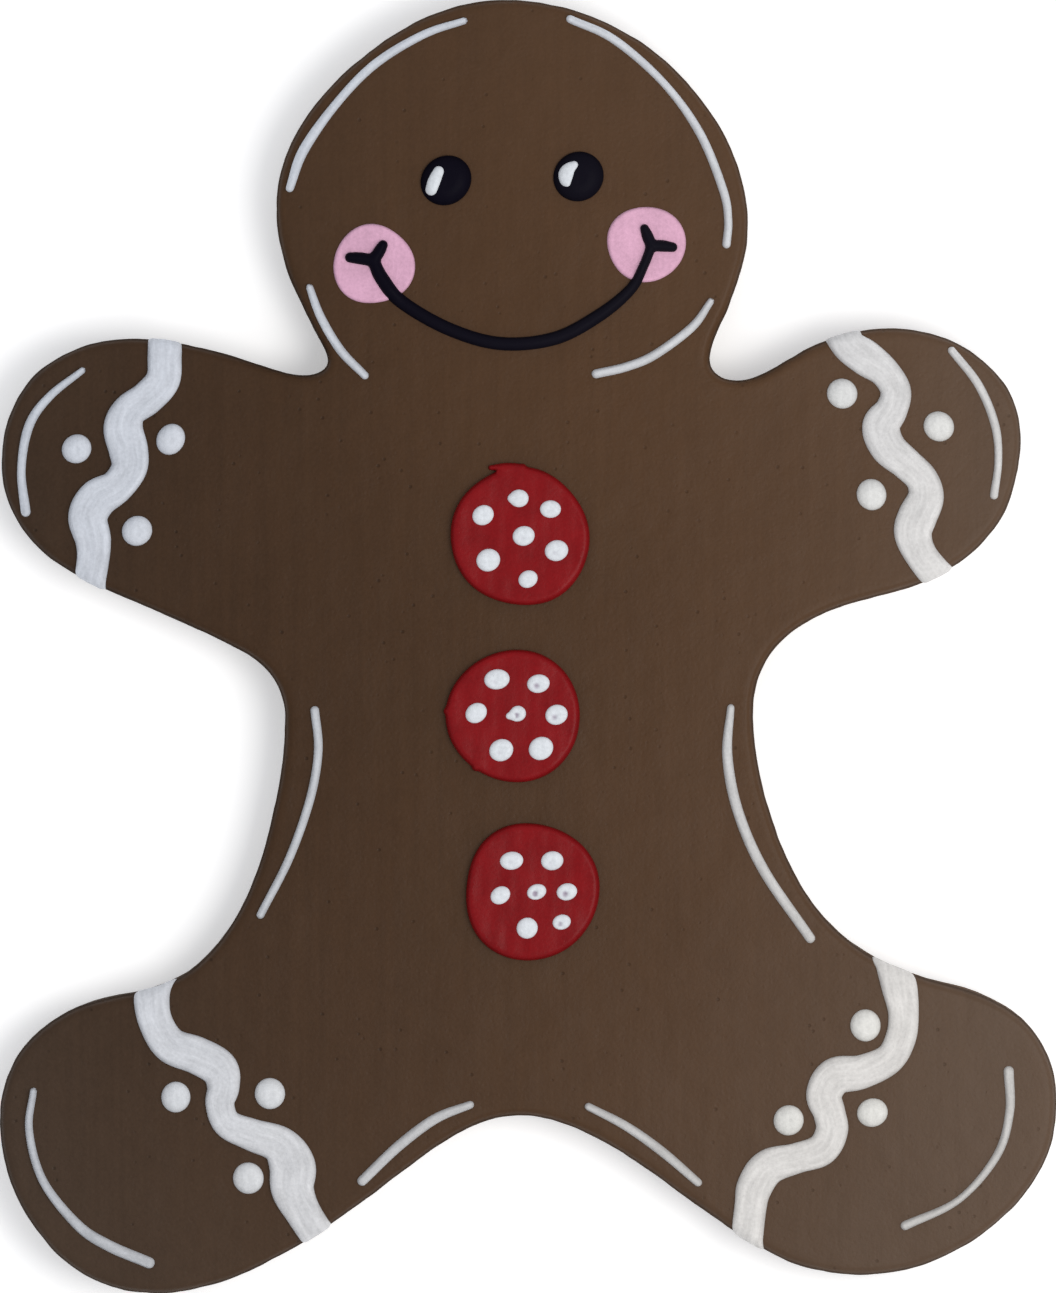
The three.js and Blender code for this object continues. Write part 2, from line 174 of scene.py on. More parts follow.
class Graph:
    """Builds the node tree of one material or world."""

    def __init__(self, owner: Material | bpy.types.World) -> None:
        """Empties the owner's node tree.

        Args:
            owner: the material or world.
        """
        owner.use_nodes = True
        self.tree = owner.node_tree
        self.tree.nodes.clear()

    def node(
        self,
        kind: str,
        settings: Mapping[str, Any] | None = None,
        sockets: Mapping[int | str, Any] | None = None,
    ) -> bpy.types.Node:
        """Adds one node.

        Args:
            kind: the node's type.
            settings: its own settings, which are set first.
            sockets: a number or vector, a Value, or a socket to link, for each input.

        Returns:
            The node.
        """
        made = self.tree.nodes.new(kind)
        for key, setting in (settings or {}).items():
            setattr(made, key, setting)
        for key, given in (sockets or {}).items():
            source = given.socket if isinstance(given, Value) else given
            if isinstance(source, bpy.types.NodeSocket):
                self.tree.links.new(source, made.inputs[key])
            else:
                made.inputs[key].default_value = source
        return made

    def _stretched(self, vector: Socket, stretch: Sequence[float]) -> Socket:
        """A vector times a stretch along each axis."""
        sockets = {0: vector, 1: tuple(stretch)}
        return self.node("ShaderNodeVectorMath", {"operation": "MULTIPLY"}, sockets).outputs[0]

    def place(self, stretch: Triple = (1, 1, 1)) -> Socket:
        """The place on the object in millimetres, times a stretch along each axis."""
        spot = self.node("ShaderNodeTexCoord").outputs["Object"]
        return self._stretched(spot, [share / MM for share in stretch])

    def flow(self, stretch: Triple = (1, 1, 1)) -> Socket:
        """The place in the icing's own flow, along it and across it, times a stretch."""
        spot = self.node("ShaderNodeAttribute", {"attribute_name": FLOW}).outputs["Vector"]
        return self._stretched(spot, stretch)

    def part(self, vector: Socket, axis: str) -> Value:
        """A vector's number along one axis."""
        return Value(self, self.node("ShaderNodeSeparateXYZ", sockets={0: vector}).outputs[axis])

    def cloud(self, at: Socket, clouds: Clouds) -> Value:
        """Soft noise about 0.

        Args:
            at: the coordinates.
            clouds: how broad and how fine it is.

        Returns:
            A number, mostly from -0.25 to 0.25.
        """
        sockets = {"Vector": at, "Scale": clouds.scale, "Detail": clouds.detail, "Roughness": clouds.rough}
        middle = 0.5
        return Value(self, self.node("ShaderNodeTexNoise", sockets=sockets).outputs["Fac"]) - middle

    def flecks(self, at: Socket, flecks: Flecks) -> Value:
        """Scattered flecks, from 0 between them to 1 in their middles."""
        made = self.node("ShaderNodeTexVoronoi", sockets={"Vector": at, "Scale": flecks.scale})
        return Value(self, made.outputs["Distance"]).rise(*flecks.fade)

    def tinted(self, colour: Colour, brightness: Value) -> Socket:
        """A colour times a brightness."""
        sockets = {0: colour, "Scale": brightness}
        return self.node("ShaderNodeVectorMath", {"operation": "SCALE"}, sockets).outputs[0]

    def mixed(self, share: Value, one: Socket, other: Socket) -> Socket:
        """Goes over from one colour to another.

        Args:
            share: how much there is of the other, from 0 to 1.
            one: the first colour.
            other: the second.

        Returns:
            The mixed colour.
        """
        factor, first, second, result = 0, 6, 7, 2
        sockets = {factor: share, first: one, second: other}
        return self.node("ShaderNodeMix", {"data_type": "RGBA"}, sockets).outputs[result]

    def finish(
        self, colour: Socket, roughness: Value, relief: Value | None, constants: Mapping[str, Any]
    ) -> None:
        """Ends the tree in the surface's shader.

        Args:
            colour: the base colour.
            roughness: the roughness over the surface.
            relief: the fine relief in millimetres, or None for a smooth surface.
            constants: the sockets that are the same all over.
        """
        sockets = {"Base Color": colour, "Roughness": roughness, **constants}
        if relief is not None:
            bumps = {"Strength": 1.0, "Distance": MM, "Height": relief}
            sockets["Normal"] = self.node("ShaderNodeBump", sockets=bumps).outputs["Normal"]
        surface = self.node("ShaderNodeBsdfPrincipled", sockets=sockets)
        self.node("ShaderNodeOutputMaterial", sockets={"Surface": surface.outputs[0]})


# ---- Finishes -------------------------------------------------------------------------------


@dataclass(frozen=True)
class Finish(ABC):
    """What a piece looks like.

    Attributes:
        name: the material's name.
        slot: the record's slot that it stands for; not used.
        specular: how strongly it reflects.
        roughness: how rough it is.
        grain_roughness: how much its fine grain changes that.
    """

    name: str
    slot: Slot
    specular: float
    roughness: float = 0.5
    grain_roughness: float = 0.12

    @abstractmethod
    def surface(self, graph: Graph, at: Socket) -> tuple[Socket, Value, Value]:
        """Builds what varies over the surface.

        Args:
            graph: the material's graph.
            at: the place on the object.

        Returns:
            The colour, the roughness and the fine relief.
        """

    def material(self) -> Material:
        """Builds the material.

        Returns:
            The material.
        """
        material = bpy.data.materials.new(self.name)
        graph = Graph(material)
        graph.finish(*self.surface(graph, graph.place()), {"Specular IOR Level": self.specular})
        return material


@dataclass(frozen=True)
class Baked(Finish):
    """Dark gingerbread: a matt, slightly mottled skin, a rim darkened with painted shade, an open crumb, a
    browner back.

    Levels are the heights at which a look begins and is full. Tones are shares of the brightness, and
    depths are millimetres of fine relief, where three are those at the side, on the back and all over.

    Attributes:
        skin: the colour of the skin on the body.
        far_sheen: its greyer, cooler colour far out on the arms and legs, a painted sheen.
        far_sheen_place: where that painted sheen takes over.
        crumb: the colour of the crumb at the side.
        crumb_levels: where it takes over from the skin.
        crust_line: the clouds that move those levels up and down.
        crust_wander: how far they do.
        back: the colour of the back.
        back_levels: where it takes over from the crumb.
        rim_levels: where the rim is darkened with painted shade.
        rim_shade: how much darker the painted shade makes it.
        rim_roughness: how much rougher it is.
        tone: the tone in the middle of the biscuit.
        painted_light_slope: how much the painted light makes it grow to a millimetre along X and along Y.
        painted_light_bowl: how much the painted light makes it grow with X squared, X times Y and Y
            squared.
        face: where the face is paler.
        face_tone: how much.
        left_hand: between which places along X the left hand becomes paler.
        left_hand_tone: how much.
        blotches: the broad mottle.
        blotch_tone: its tone.
        mottle: the finer mottle.
        mottle_tone: its tone.
        streaks: the faint streaks up and down.
        streak_stretch: how close they are along each axis.
        streak_tone: their tone.
        grain: the fine grain.
        grain_tone: its tone.
        specks: the dark specks.
        speck_patches: the clouds that leave specks only here and there.
        speck_fade: the clouds' strengths at which specks begin and are full.
        speck_tone: how much darker they are.
        speck_depth: how deep they are.
        pores: the round pores.
        pore_depths: how deep they are.
        crumbs: the unevenness of the crumb.
        crumb_depths: how deep it is.
        bumps: the soft bumps all over.
        bump_depth: how deep they are.
    """

    skin: Colour = (0.0645, 0.0312, 0.0137)
    # Painted sheen: a greyer colour far out on the arms and legs.
    far_sheen: Colour = (0.0645, 0.0408, 0.0266)
    far_sheen_place: Oval = Oval(-8, 15, 0.3, (-600, 5400))
    crumb: Colour = (0.074, 0.0425, 0.024)
    crumb_levels: Pair = (7.0, 5.2)
    crust_line: Clouds = Clouds(0.3, 3, 0.6)
    crust_wander: float = 2.4
    back: Colour = (0.053, 0.026, 0.0105)
    back_levels: Pair = (0.6, 0.05)
    # Painted shade: a darker band over the rounded shoulder.
    rim_levels: Pair = (7.7, 7.2)
    rim_shade: float = 0.36
    rim_roughness: float = 0.5
    tone: float = 0.99
    # Painted light: the skin's tone grows across the biscuit, most towards the right.
    painted_light_slope: Pair = (0.0078, 0.00056)
    painted_light_bowl: Triple = (0.000027, 0.00002, 0.000035)
    face: Oval = Oval(0, 40, 0.5, (600, 0))
    face_tone: float = 0.07
    left_hand: Pair = (-44, -60)
    left_hand_tone: float = 0.08
    blotches: Clouds = Clouds(0.05)
    blotch_tone: float = 0.16
    mottle: Clouds = Clouds(0.42)
    mottle_tone: float = 0.12
    streaks: Clouds = Clouds(1)
    streak_stretch: Triple = (1.3, 0.035, 0.3)
    streak_tone: float = 0.2
    grain: Clouds = Clouds(2.4, 3, 0.65)
    grain_tone: float = 0.3
    specks: Flecks = Flecks(0.62, (0.17, 0.06))
    speck_patches: Clouds = Clouds(0.3)
    speck_fade: Pair = (-0.02, 0.1)
    speck_tone: float = 0.3
    speck_depth: float = 0.05
    pores: Flecks = Flecks(1.1, (0.32, 0.05))
    pore_depths: Triple = (0.16, 0.08, 0.012)
    crumbs: Clouds = Clouds(2.1, 4, 0.6)
    crumb_depths: Triple = (0.14, 0.06, 0.045)
    bumps: Clouds = Clouds(0.7)
    bump_depth: float = 0.03

    def surface(self, graph: Graph, at: Socket) -> tuple[Socket, Value, Value]:
        """Builds what varies over the surface.

        Args:
            graph: the material's graph.
            at: the place on the object.

        Returns:
            The colour, the roughness and the fine relief.
        """
        x, y, height = (graph.part(at, axis) for axis in "XYZ")
        rim = height.rise(*self.rim_levels)
        side = (height + graph.cloud(at, self.crust_line) * self.crust_wander).rise(*self.crumb_levels)
        back = height.rise(*self.back_levels)
        grain = graph.cloud(at, self.grain)
        specks = graph.flecks(at, self.specks)
        specks *= graph.cloud(at, self.speck_patches).rise(*self.speck_fade)
        # Painted light: the tone is brighter towards the right.
        tone = self._tone_with_painted_light(x, y) + self._mottled(graph, at) + grain * self.grain_tone
        tone -= specks * self.speck_tone
        # Painted shade: the skin is darker over the rounded shoulder.
        skin_tone = tone * (1 - rim * self.rim_shade)
        # Painted sheen: far out on the arms and legs the skin goes over to a greyer colour.
        skin, far_sheen = (graph.tinted(colour, skin_tone) for colour in (self.skin, self.far_sheen))
        colour = graph.mixed(self.far_sheen_place.mask(x, y), skin, far_sheen)
        colour = graph.mixed(side, colour, graph.tinted(self.crumb, tone))
        colour = graph.mixed(back, colour, graph.tinted(self.back, tone))
        relief = graph.cloud(at, self.crumbs) * self._depth(side, back, self.crumb_depths)
        relief -= graph.flecks(at, self.pores) * self._depth(side, back, self.pore_depths)
        relief += graph.cloud(at, self.bumps) * self.bump_depth - specks * self.speck_depth
        roughness = grain * self.grain_roughness + rim * self.rim_roughness + self.roughness
        return colour, roughness, relief

    def _tone_with_painted_light(self, x: Value, y: Value) -> Value:
        """Painted light in the skin's tone, brightest towards the right, and paler over the face and left
        hand.

        Args:
            x: the place along X.
            y: the place along Y.

        Returns:
            The tone, about 1.
        """
        along_x, along_y = self.painted_light_slope
        squared_x, both, squared_y = self.painted_light_bowl
        painted_light = x * (x * squared_x + y * both + along_x) + y * (y * squared_y + along_y)
        paler = self.face.mask(x, y) * self.face_tone + x.rise(*self.left_hand) * self.left_hand_tone
        return painted_light + paler + self.tone

    def _mottled(self, graph: Graph, at: Socket) -> Value:
        """The broad and the fine mottle of the skin, and its faint streaks.

        Args:
            graph: the material's graph.
            at: the place on the object.

        Returns:
            The tone, about 0.
        """
        mottle = graph.cloud(at, self.blotches) * self.blotch_tone
        mottle += graph.cloud(at, self.mottle) * self.mottle_tone
        return mottle + graph.cloud(graph.place(self.streak_stretch), self.streaks) * self.streak_tone

    @staticmethod
    def _depth(side: Value, back: Value, depths: Triple) -> Value:
        """The depth of a relief at each place, from those at the side, on the back and all over."""
        at_side, at_back, all_over = depths
        return side * at_side + back * at_back + all_over


@dataclass(frozen=True, kw_only=True)
class Icing(Finish):
    """Dried icing, with the streaks of its piping along the flow, and painted light towards the lower
    right.

    The streaks, the mottle and the grain are shares of the brightness, and the depths are millimetres of
    fine relief.

    Attributes:
        colour: its colour at the upper left of the biscuit, where the painted light is dimmest.
        painted_light_colour: the brighter, warmer colour it goes over to towards the lower right, painted
            light.
        painted_light_lean: how much a millimetre down counts beside one to the right.
        painted_light_fade: from where to where it goes over.
        thin: its colour where it is so thin that its bed shows through.
        thin_fade: the thinness at which that begins and is full.
        streaks: how strong the streaks are.
        streak_clouds: how fine they are.
        streak_stretch: how close they are along the flow and across it.
        streak_depth: how deep they are.
        mottle: how strong the mottle is.
        mottle_clouds: how broad it is.
        grain: how strong the grain is.
        grain_clouds: how fine it is.
        grain_depth: how deep it is.
        bubbles: the small burst bubbles.
        bubble_depth: how deep they are.
        lift: how much brighter it becomes to a millimetre upward.
    """

    colour: Colour
    # Painted light: towards the lower right the icing goes over to a brighter, warmer colour.
    painted_light_colour: Colour
    painted_light_lean: float = 0.5
    painted_light_fade: Pair = (-80, 80)
    thin: Colour
    thin_fade: Pair = (0.1, 0.55)
    streaks: float = 0.16
    streak_clouds: Clouds = Clouds(1, 3, 0.55)
    streak_stretch: Triple = (0.24, 1.7, 0)
    streak_depth: float = 0.04
    mottle: float = 0.0
    mottle_clouds: Clouds = Clouds(0.35)
    grain: float = 0.1
    grain_clouds: Clouds = Clouds(2.6, 3, 0.6)
    grain_depth: float = 0.03
    bubbles: Flecks = Flecks(0.9, (0.1, 0.03))
    bubble_depth: float = 0.02
    lift: float = 0.0

    def surface(self, graph: Graph, at: Socket) -> tuple[Socket, Value, Value]:
        """Builds what varies over the surface.

        Args:
            graph: the material's graph.
            at: the place on the object.

        Returns:
            The colour, the roughness and the fine relief.
        """
        x, y = graph.part(at, "X"), graph.part(at, "Y")
        streak = graph.cloud(graph.flow(self.streak_stretch), self.streak_clouds)
        mottle = graph.cloud(at, self.mottle_clouds)
        grain = graph.cloud(at, self.grain_clouds)
        tone = streak * self.streaks + mottle * self.mottle + grain * self.grain + y * self.lift + 1
        # Painted light: the share of the brighter, warmer colour grows towards the lower right.
        sideways = (x - y * self.painted_light_lean).rise(*self.painted_light_fade)
        thinness = graph.part(graph.flow(), "Z").rise(*self.thin_fade)
        colour = graph.mixed(sideways, graph.tinted(self.colour, tone), graph.tinted(self.painted_light_colour, tone))
        colour = graph.mixed(thinness, colour, graph.tinted(self.thin, tone))
        relief = streak * self.streak_depth + grain * self.grain_depth
        relief -= graph.flecks(at, self.bubbles) * self.bubble_depth
        return colour, grain * self.grain_roughness + self.roughness, relief


# ---- Uneven by hand -------------------------------------------------------------------------


@dataclass(frozen=True)
class Swell:
    """Smooth rises and dips, the same in every run.

    Attributes:
        size: how high the highest is, about.
        widths: how broad they are along each axis.
        seed: a number that sets them apart from others.
    """

    size: float
    widths: tuple[float, ...]
    seed: float

    def at(self, places: Array) -> Array:
        """The rise at each place.

        Args:
            places: a row each, with a column for each width, and more columns that don't count.

        Returns:
            The rises in millimetres.
        """
        spots = np.full((len(places), 3), self.seed)
        spots[:, : len(self.widths)] += places[:, : len(self.widths)] / self.widths
        return self.size * np.array([noise.noise(Vector(spot)) for spot in spots])


def risen(swells: Sequence[Swell], places: Array) -> Array:
    """The sum of several swells at each place."""
    return sum((swell.at(places) for swell in swells), np.zeros(len(places)))


# ---- Outlines in plan -----------------------------------------------------------------------


def evenly(corners: Array, pace: float, closed: bool, fewest: int = 4) -> Array:
    """Spaces points evenly along a line.

    Args:
        corners: the corners of the line, a row each. Columns after the second are carried along.
        pace: the wanted distance between neighbours.
        closed: whether the line runs on from its last corner to its first.
        fewest: how many steps it has at least.

    Returns:
        The new points. An open line keeps its two ends.
    """
    line = np.vstack([corners, corners[:1]]) if closed else corners
    steps = np.hypot(*np.diff(line[:, :2], axis=0).T)
    along = np.concatenate([[0], np.cumsum(steps)])
    count = max(fewest, round(along[-1] / pace))
    marks = np.linspace(0, along[-1], count + 1)[: count if closed else count + 1]
    return np.column_stack([np.interp(marks, along, column) for column in line.T])


class Loop:
    """A closed outline in plan, as close points in counter-clockwise order."""

    def __init__(self, points: Array) -> None:
        """Works out which way is outward at each point.

        Args:
            points: the points, a row each.
        """
        self.points = points
        ahead = np.roll(points, -1, 0) - np.roll(points, 1, 0)
        self.outward = np.column_stack([ahead[:, 1], -ahead[:, 0]]) / np.hypot(*ahead.T)[:, None]
        self._tree = KDTree(len(points))
        for index, (x, y) in enumerate(points):
            self._tree.insert((x, y, 0), index)
        self._tree.balance()

    @classmethod
    def spaced(cls, corners: Array, pace: float) -> "Loop":
        """An outline with evenly spaced points.

        Args:
            corners: its corners, in either order.
            pace: the distance between the points.

        Returns:
            The outline.
        """
        x, y = corners.T
        turns_left = np.sum(x * np.roll(y, -1) - y * np.roll(x, -1)) > 0
        return cls(evenly(corners if turns_left else corners[::-1], pace, closed=True))

    def inset(self, by: float) -> "Loop":
        """The outline moved inward."""
        return Loop(self.points - by * self.outward)

    def depth(self, places: Array) -> tuple[Array, Array]:
        """How deep places lie inside the outline.

        Args:
            places: the places in plan.

        Returns:
            The distance to the outline, positive inside, and the outward direction there.
        """
        nearest = np.array([self._tree.find((x, y, 0))[1] for x, y in places[:, :2]], int)
        best = np.full(len(places), np.inf)
        sign = np.ones(len(places))
        for first, last in ((nearest - 1, nearest), (nearest, nearest + 1)):
            start = self.points[first % len(self.points)]
            along = self.points[last % len(self.points)] - start
            offset = places[:, :2] - start
            share = np.clip(np.sum(offset * along, 1) / np.sum(along * along, 1), 0, 1)
            distance = np.hypot(*(offset - share[:, None] * along).T)
            side = np.sign(along[:, 0] * offset[:, 1] - along[:, 1] * offset[:, 0])
            closer = distance < best
            best[closer] = distance[closer]
            sign[closer] = side[closer]
        return best * sign, self.outward[nearest]


class Footprint(ABC):
    """The area in plan that a piece of icing covers."""

    @abstractmethod
    def reach(self) -> tuple[Array, Array]:
        """The lowest and highest corner of a box round it."""

    @abstractmethod
    def outside(self, places: Array) -> Array:
        """How far outside it each place lies.

        Args:
            places: the places in plan.

        Returns:
            The distances, negative inside.
        """

    @abstractmethod
    def follow(self, places: Array) -> tuple[Array, Array, Array]:
        """Where each place lies in the flow of the icing.

        Args:
            places: the places in plan.

        Returns:
            Its length along the flow, its offset across, and half the width there.
        """

    def spine(self) -> Array:
        """Points along its middle, where it has a narrow one."""
        return np.empty((0, 2))

    def trace(self, cell: float, pace: float) -> Loop:
        """Follows its edge on a fine grid.

        Args:
            cell: the grid's cell.
            pace: the distance between the outline's points.

        Returns:
            The longest edge.
        """
        low, high = self.reach()
        margin = 2 * cell
        xs, ys = (np.arange(low[axis] - margin, high[axis] + margin + cell, cell) for axis in (0, 1))
        grid = np.stack(np.meshgrid(xs, ys), -1)
        level = self.outside(grid.reshape(-1, 2)).reshape(len(ys), len(xs))
        crossings, links = crossed_cells(grid, level)
        return Loop.spaced(np.array([crossings[side] for side in longest_walk(links)]), pace)


def crossed_cells(grid: Array, level: Array) -> tuple[dict[tuple, Array], dict[tuple, list[tuple]]]:
    """Finds where a level passes through 0 on a grid.

    Args:
        grid: the place of each grid corner, in rows and columns.
        level: the level there.

    Returns:
        The place where each crossed side of a cell is crossed, and the crossed sides next to it.
    """
    inside = level < 0
    pairs = inside[:-1].astype(int) + inside[1:]
    # A cell is crossed where one, two or three of its four corners are inside.
    corners_inside = pairs[:, :-1] + pairs[:, 1:]
    crossings: dict[tuple, Array] = {}
    links: dict[tuple, list[tuple]] = defaultdict(list)
    for row, column in zip(*np.nonzero(corners_inside % 4)):
        corners = [(row, column), (row, column + 1), (row + 1, column + 1), (row + 1, column)]
        crossed = []
        for near, far in zip(corners, corners[1:] + corners[:1]):
            if inside[near] != inside[far]:
                side = (min(near, far), max(near, far))
                share = level[near] / (level[near] - level[far])
                crossings[side] = grid[near] + share * (grid[far] - grid[near])
                crossed.append(side)
        for one, other in zip(crossed[::2], crossed[1::2]):
            links[one].append(other)
            links[other].append(one)
    return crossings, links


def longest_walk(links: Mapping[tuple, Sequence[tuple]]) -> list[tuple]:
    """Follows links from step to step, and takes each step once.

    Args:
        links: the steps that each step leads to.

    Returns:
        The longest of the ways.
    """
    longest: list[tuple] = []
    left = dict.fromkeys(links)
    while left:
        walk = [next(iter(left))]
        del left[walk[0]]
        while ahead := [step for step in links[walk[-1]] if step in left]:
            walk.append(ahead[0])
            del left[ahead[0]]
        longest = max(longest, walk, key=len)
    return longest


@dataclass(frozen=True)
class Stroke(Footprint):
    """A piped line.

    Attributes:
        stations: the stations along its middle, each with x, y and half its width.
        pace: the distance between the close points that it is measured at.
        steps: how many points the curve has between two stations before they are spaced evenly.
        batch: how many places are measured at a time.
    """

    stations: Stations
    pace: float = 0.12
    steps: int = 24
    batch: int = 10000

    def middles(self) -> Array:
        """Close points along the middle.

        Returns:
            A row each, with half the width there.
        """
        known = np.array(self.stations, float)
        before, after = 2 * known[0] - known[1], 2 * known[-1] - known[-2]
        known = np.vstack([before, known, after])
        share = np.linspace(0, 1, self.steps, endpoint=False)[:, None]
        spans = [self._span(known[i : i + 4], share) for i in range(len(known) - 3)]
        return evenly(np.vstack([*spans, known[-2]]), self.pace, closed=False)

    @staticmethod
    def _span(four: Array, share: Array) -> Array:
        """The smooth curve from the second to the third of four stations.

        Args:
            four: the stations.
            share: how far along the curve each point is, from 0 to 1.

        Returns:
            The points, a row each.
        """
        before, start, end, after = four
        leaving, arriving = (end - before) / 2, (after - start) / 2
        squared = 3 * (end - start) - 2 * leaving - arriving
        cubed = 2 * (start - end) + leaving + arriving
        return start + leaving * share + squared * share**2 + cubed * share**3

    def spine(self) -> Array:
        """Points along its middle."""
        return self.middles()[:, :2]

    def reach(self) -> tuple[Array, Array]:
        """The lowest and highest corner of a box round it.

        Returns:
            The two corners.
        """
        middles = self.middles()
        widest = middles[:, 2].max()
        return middles[:, :2].min(0) - widest, middles[:, :2].max(0) + widest

    def outside(self, places: Array) -> Array:
        """How far outside the stroke each place lies.

        Args:
            places: the places in plan.

        Returns:
            The distances, negative inside.
        """
        x, y, half = self.middles().T
        parts = np.array_split(places, 1 + len(places) // self.batch)
        return np.concatenate([(np.hypot(p[:, :1] - x, p[:, 1:2] - y) - half).min(1) for p in parts])

    def follow(self, places: Array) -> tuple[Array, Array, Array]:
        """Where each place lies along the stroke.

        Args:
            places: the places in plan.

        Returns:
            Its length along the stroke, its offset to the left, and half the width there.
        """
        middles = self.middles()
        ahead = np.gradient(middles[:, :2], axis=0)
        left = np.column_stack([-ahead[:, 1], ahead[:, 0]]) / np.hypot(*ahead.T)[:, None]
        gaps = np.hypot(places[:, :1] - middles[:, 0], places[:, 1:2] - middles[:, 1])
        nearest = np.argmin(gaps, 1)
        offset = np.sum((places[:, :2] - middles[nearest, :2]) * left[nearest], 1)
        return nearest * self.pace, offset, middles[nearest, 2]


@dataclass(frozen=True)
class Round(Footprint):
    """A round of icing.

    Attributes:
        x: where its middle is along X.
        y: where that is along Y.
        long: its longer radius.
        short: its shorter radius.
        tilt: how far the longer radius is turned from X, in degrees.
        lobes: its unevenness, each with its number of lobes, their share of the radius and their turn.
    """

    x: float
    y: float
    long: float
    short: float
    tilt: float
    lobes: Sequence[tuple[int, float, float]] = ()

    def reach(self) -> tuple[Array, Array]:
        """The lowest and highest corner of a box round it.

        Returns:
            The two corners.
        """
        most = max(self.long, self.short) * (1 + sum(share for _, share, _ in self.lobes))
        middle = np.array([self.x, self.y])
        return middle - most, middle + most

    def outside(self, places: Array) -> Array:
        """How far outside the round each place lies, nearly.

        Args:
            places: the places in plan.

        Returns:
            The distances, negative inside.
        """
        turn = math.radians(self.tilt)
        dx, dy = places[:, 0] - self.x, places[:, 1] - self.y
        u = (dx * math.cos(turn) + dy * math.sin(turn)) / self.long
        v = (dy * math.cos(turn) - dx * math.sin(turn)) / self.short
        angle = np.arctan2(v, u)
        swell = np.ones(len(places))
        for count, share, phase in self.lobes:
            swell += share * np.cos(count * angle - math.radians(phase))
        return (np.hypot(u, v) / swell - 1) * (self.long + self.short) / 2

    def follow(self, places: Array) -> tuple[Array, Array, Array]:
        """Each place's height and breadth from the middle, and the shorter radius."""
        return places[:, 1] - self.y, places[:, 0] - self.x, np.full(len(places), self.short)


@dataclass(frozen=True)
class Joined(Footprint):
    """Several footprints run together, with inner corners that are filled in softly over the blend."""

    parts: Sequence[Footprint]
    blend: float = 0.12

    def spine(self) -> Array:
        """Points along the middles."""
        return np.vstack([part.spine() for part in self.parts])

    def reach(self) -> tuple[Array, Array]:
        """The lowest and highest corner of a box round them all."""
        lows, highs = zip(*(part.reach() for part in self.parts))
        return np.min(lows, 0), np.max(highs, 0)

    def outside(self, places: Array) -> Array:
        """How far outside all of them each place lies.

        Args:
            places: the places in plan.

        Returns:
            The distances, negative inside.
        """
        levels = np.array([part.outside(places) for part in self.parts])
        least = levels.min(0)
        others = np.exp((least - levels) / self.blend).sum(0)
        return least - self.blend * np.log(others)

    def follow(self, places: Array) -> tuple[Array, Array, Array]:
        """Where each place lies in the flow of the part that it is on.

        Args:
            places: the places in plan.

        Returns:
            Its length along the flow, its offset across, and half the width there.
        """
        nearest = np.argmin([part.outside(places) for part in self.parts], 0)
        runs = np.array([part.follow(places) for part in self.parts])
        return tuple(runs[nearest, :, np.arange(len(places))].T)


@dataclass(frozen=True)
class UpToEdge(Footprint):
    """The part of a stroke that lies within the dough's outline, and a hem that is bent down.

    Attributes:
        stroke: the stroke.
        loop: the dough's outline.
        hem: how far the stroke goes on past the outline.
        corner: the radius of the hem's corners.
    """

    stroke: Stroke
    loop: Loop
    hem: float
    corner: float

    def reach(self) -> tuple[Array, Array]:
        """The lowest and highest corner of a box round it."""
        return self.stroke.reach()

    def outside(self, places: Array) -> Array:
        """How far outside it each place lies.

        Args:
            places: the places in plan.

        Returns:
            The distances, negative inside.
        """
        depth, _ = self.loop.depth(places)
        past_side = self.stroke.outside(places) + self.corner
        past_end = self.corner - depth - self.hem
        rounding = np.hypot(np.clip(past_side, 0, None), np.clip(past_end, 0, None))
        return np.minimum(np.maximum(past_side, past_end), 0) + rounding - self.corner

    def follow(self, places: Array) -> tuple[Array, Array, Array]:
        """Each place's length along the stroke, its offset to the left, and half the width."""
        return self.stroke.follow(places)


# ---- Meshes ---------------------------------------------------------------------------------


@dataclass(frozen=True)
class Patch:
    """An area in plan, split into small triangles that turn counter-clockwise.

    Attributes:
        places: the triangles' corners.
        faces: each triangle's three corners, by number.
        rim: the outline's corners in its order, by number.
    """

    places: Array
    faces: list[list[int]]
    rim: list[int]

    @classmethod
    def fill(cls, loop: Loop, *more: Array) -> "Patch":
        """Splits the inside of an outline.

        Args:
            loop: the outline, whose points become the rim.
            more: points inside it.

        Returns:
            The patch.
        """
        given = [Vector(place) for place in np.vstack([loop.points, *more])]
        rim = list(range(len(loop.points)))
        inside_only, tolerance = 1, 1e-5
        made = delaunay_2d_cdt(given, [], [rim], inside_only, tolerance)
        number = {source: index for index, sources in enumerate(made[3]) for source in sources}
        places = np.array([tuple(place) for place in made[0]])
        return cls(places, [list(face) for face in made[2]], [number[index] for index in rim])


def rows_inside(loop: Loop, insets: Sequence[float], room: float = 0.97) -> Array:
    """Points in rows along an outline.

    Args:
        loop: the outline.
        insets: how far inside it each row lies.
        room: the share of its inset that a point keeps from every stretch of the outline, or else it
            is left out.

    Returns:
        The points, a row each.
    """
    rows = [loop.points - inset * loop.outward for inset in insets]
    return np.vstack([row[loop.depth(row)[0] > room * inset] for row, inset in zip(rows, insets)])


def grid_inside(loop: Loop, cell: float, margin: float) -> Array:
    """An even triangular grid of points inside an outline.

    Args:
        loop: the outline.
        cell: the distance between the points.
        margin: how far they keep from the outline.

    Returns:
        The points, a row each.
    """
    low, high = loop.points.min(0), loop.points.max(0)
    xs = np.arange(low[0], high[0], cell)
    ys = np.arange(low[1], high[1], cell * math.sqrt(3) / 2)
    grid = np.stack(np.meshgrid(xs, ys), -1)
    grid[::2, :, 0] += cell / 2
    grid = grid.reshape(-1, 2)
    return grid[loop.depth(grid)[0] > margin]


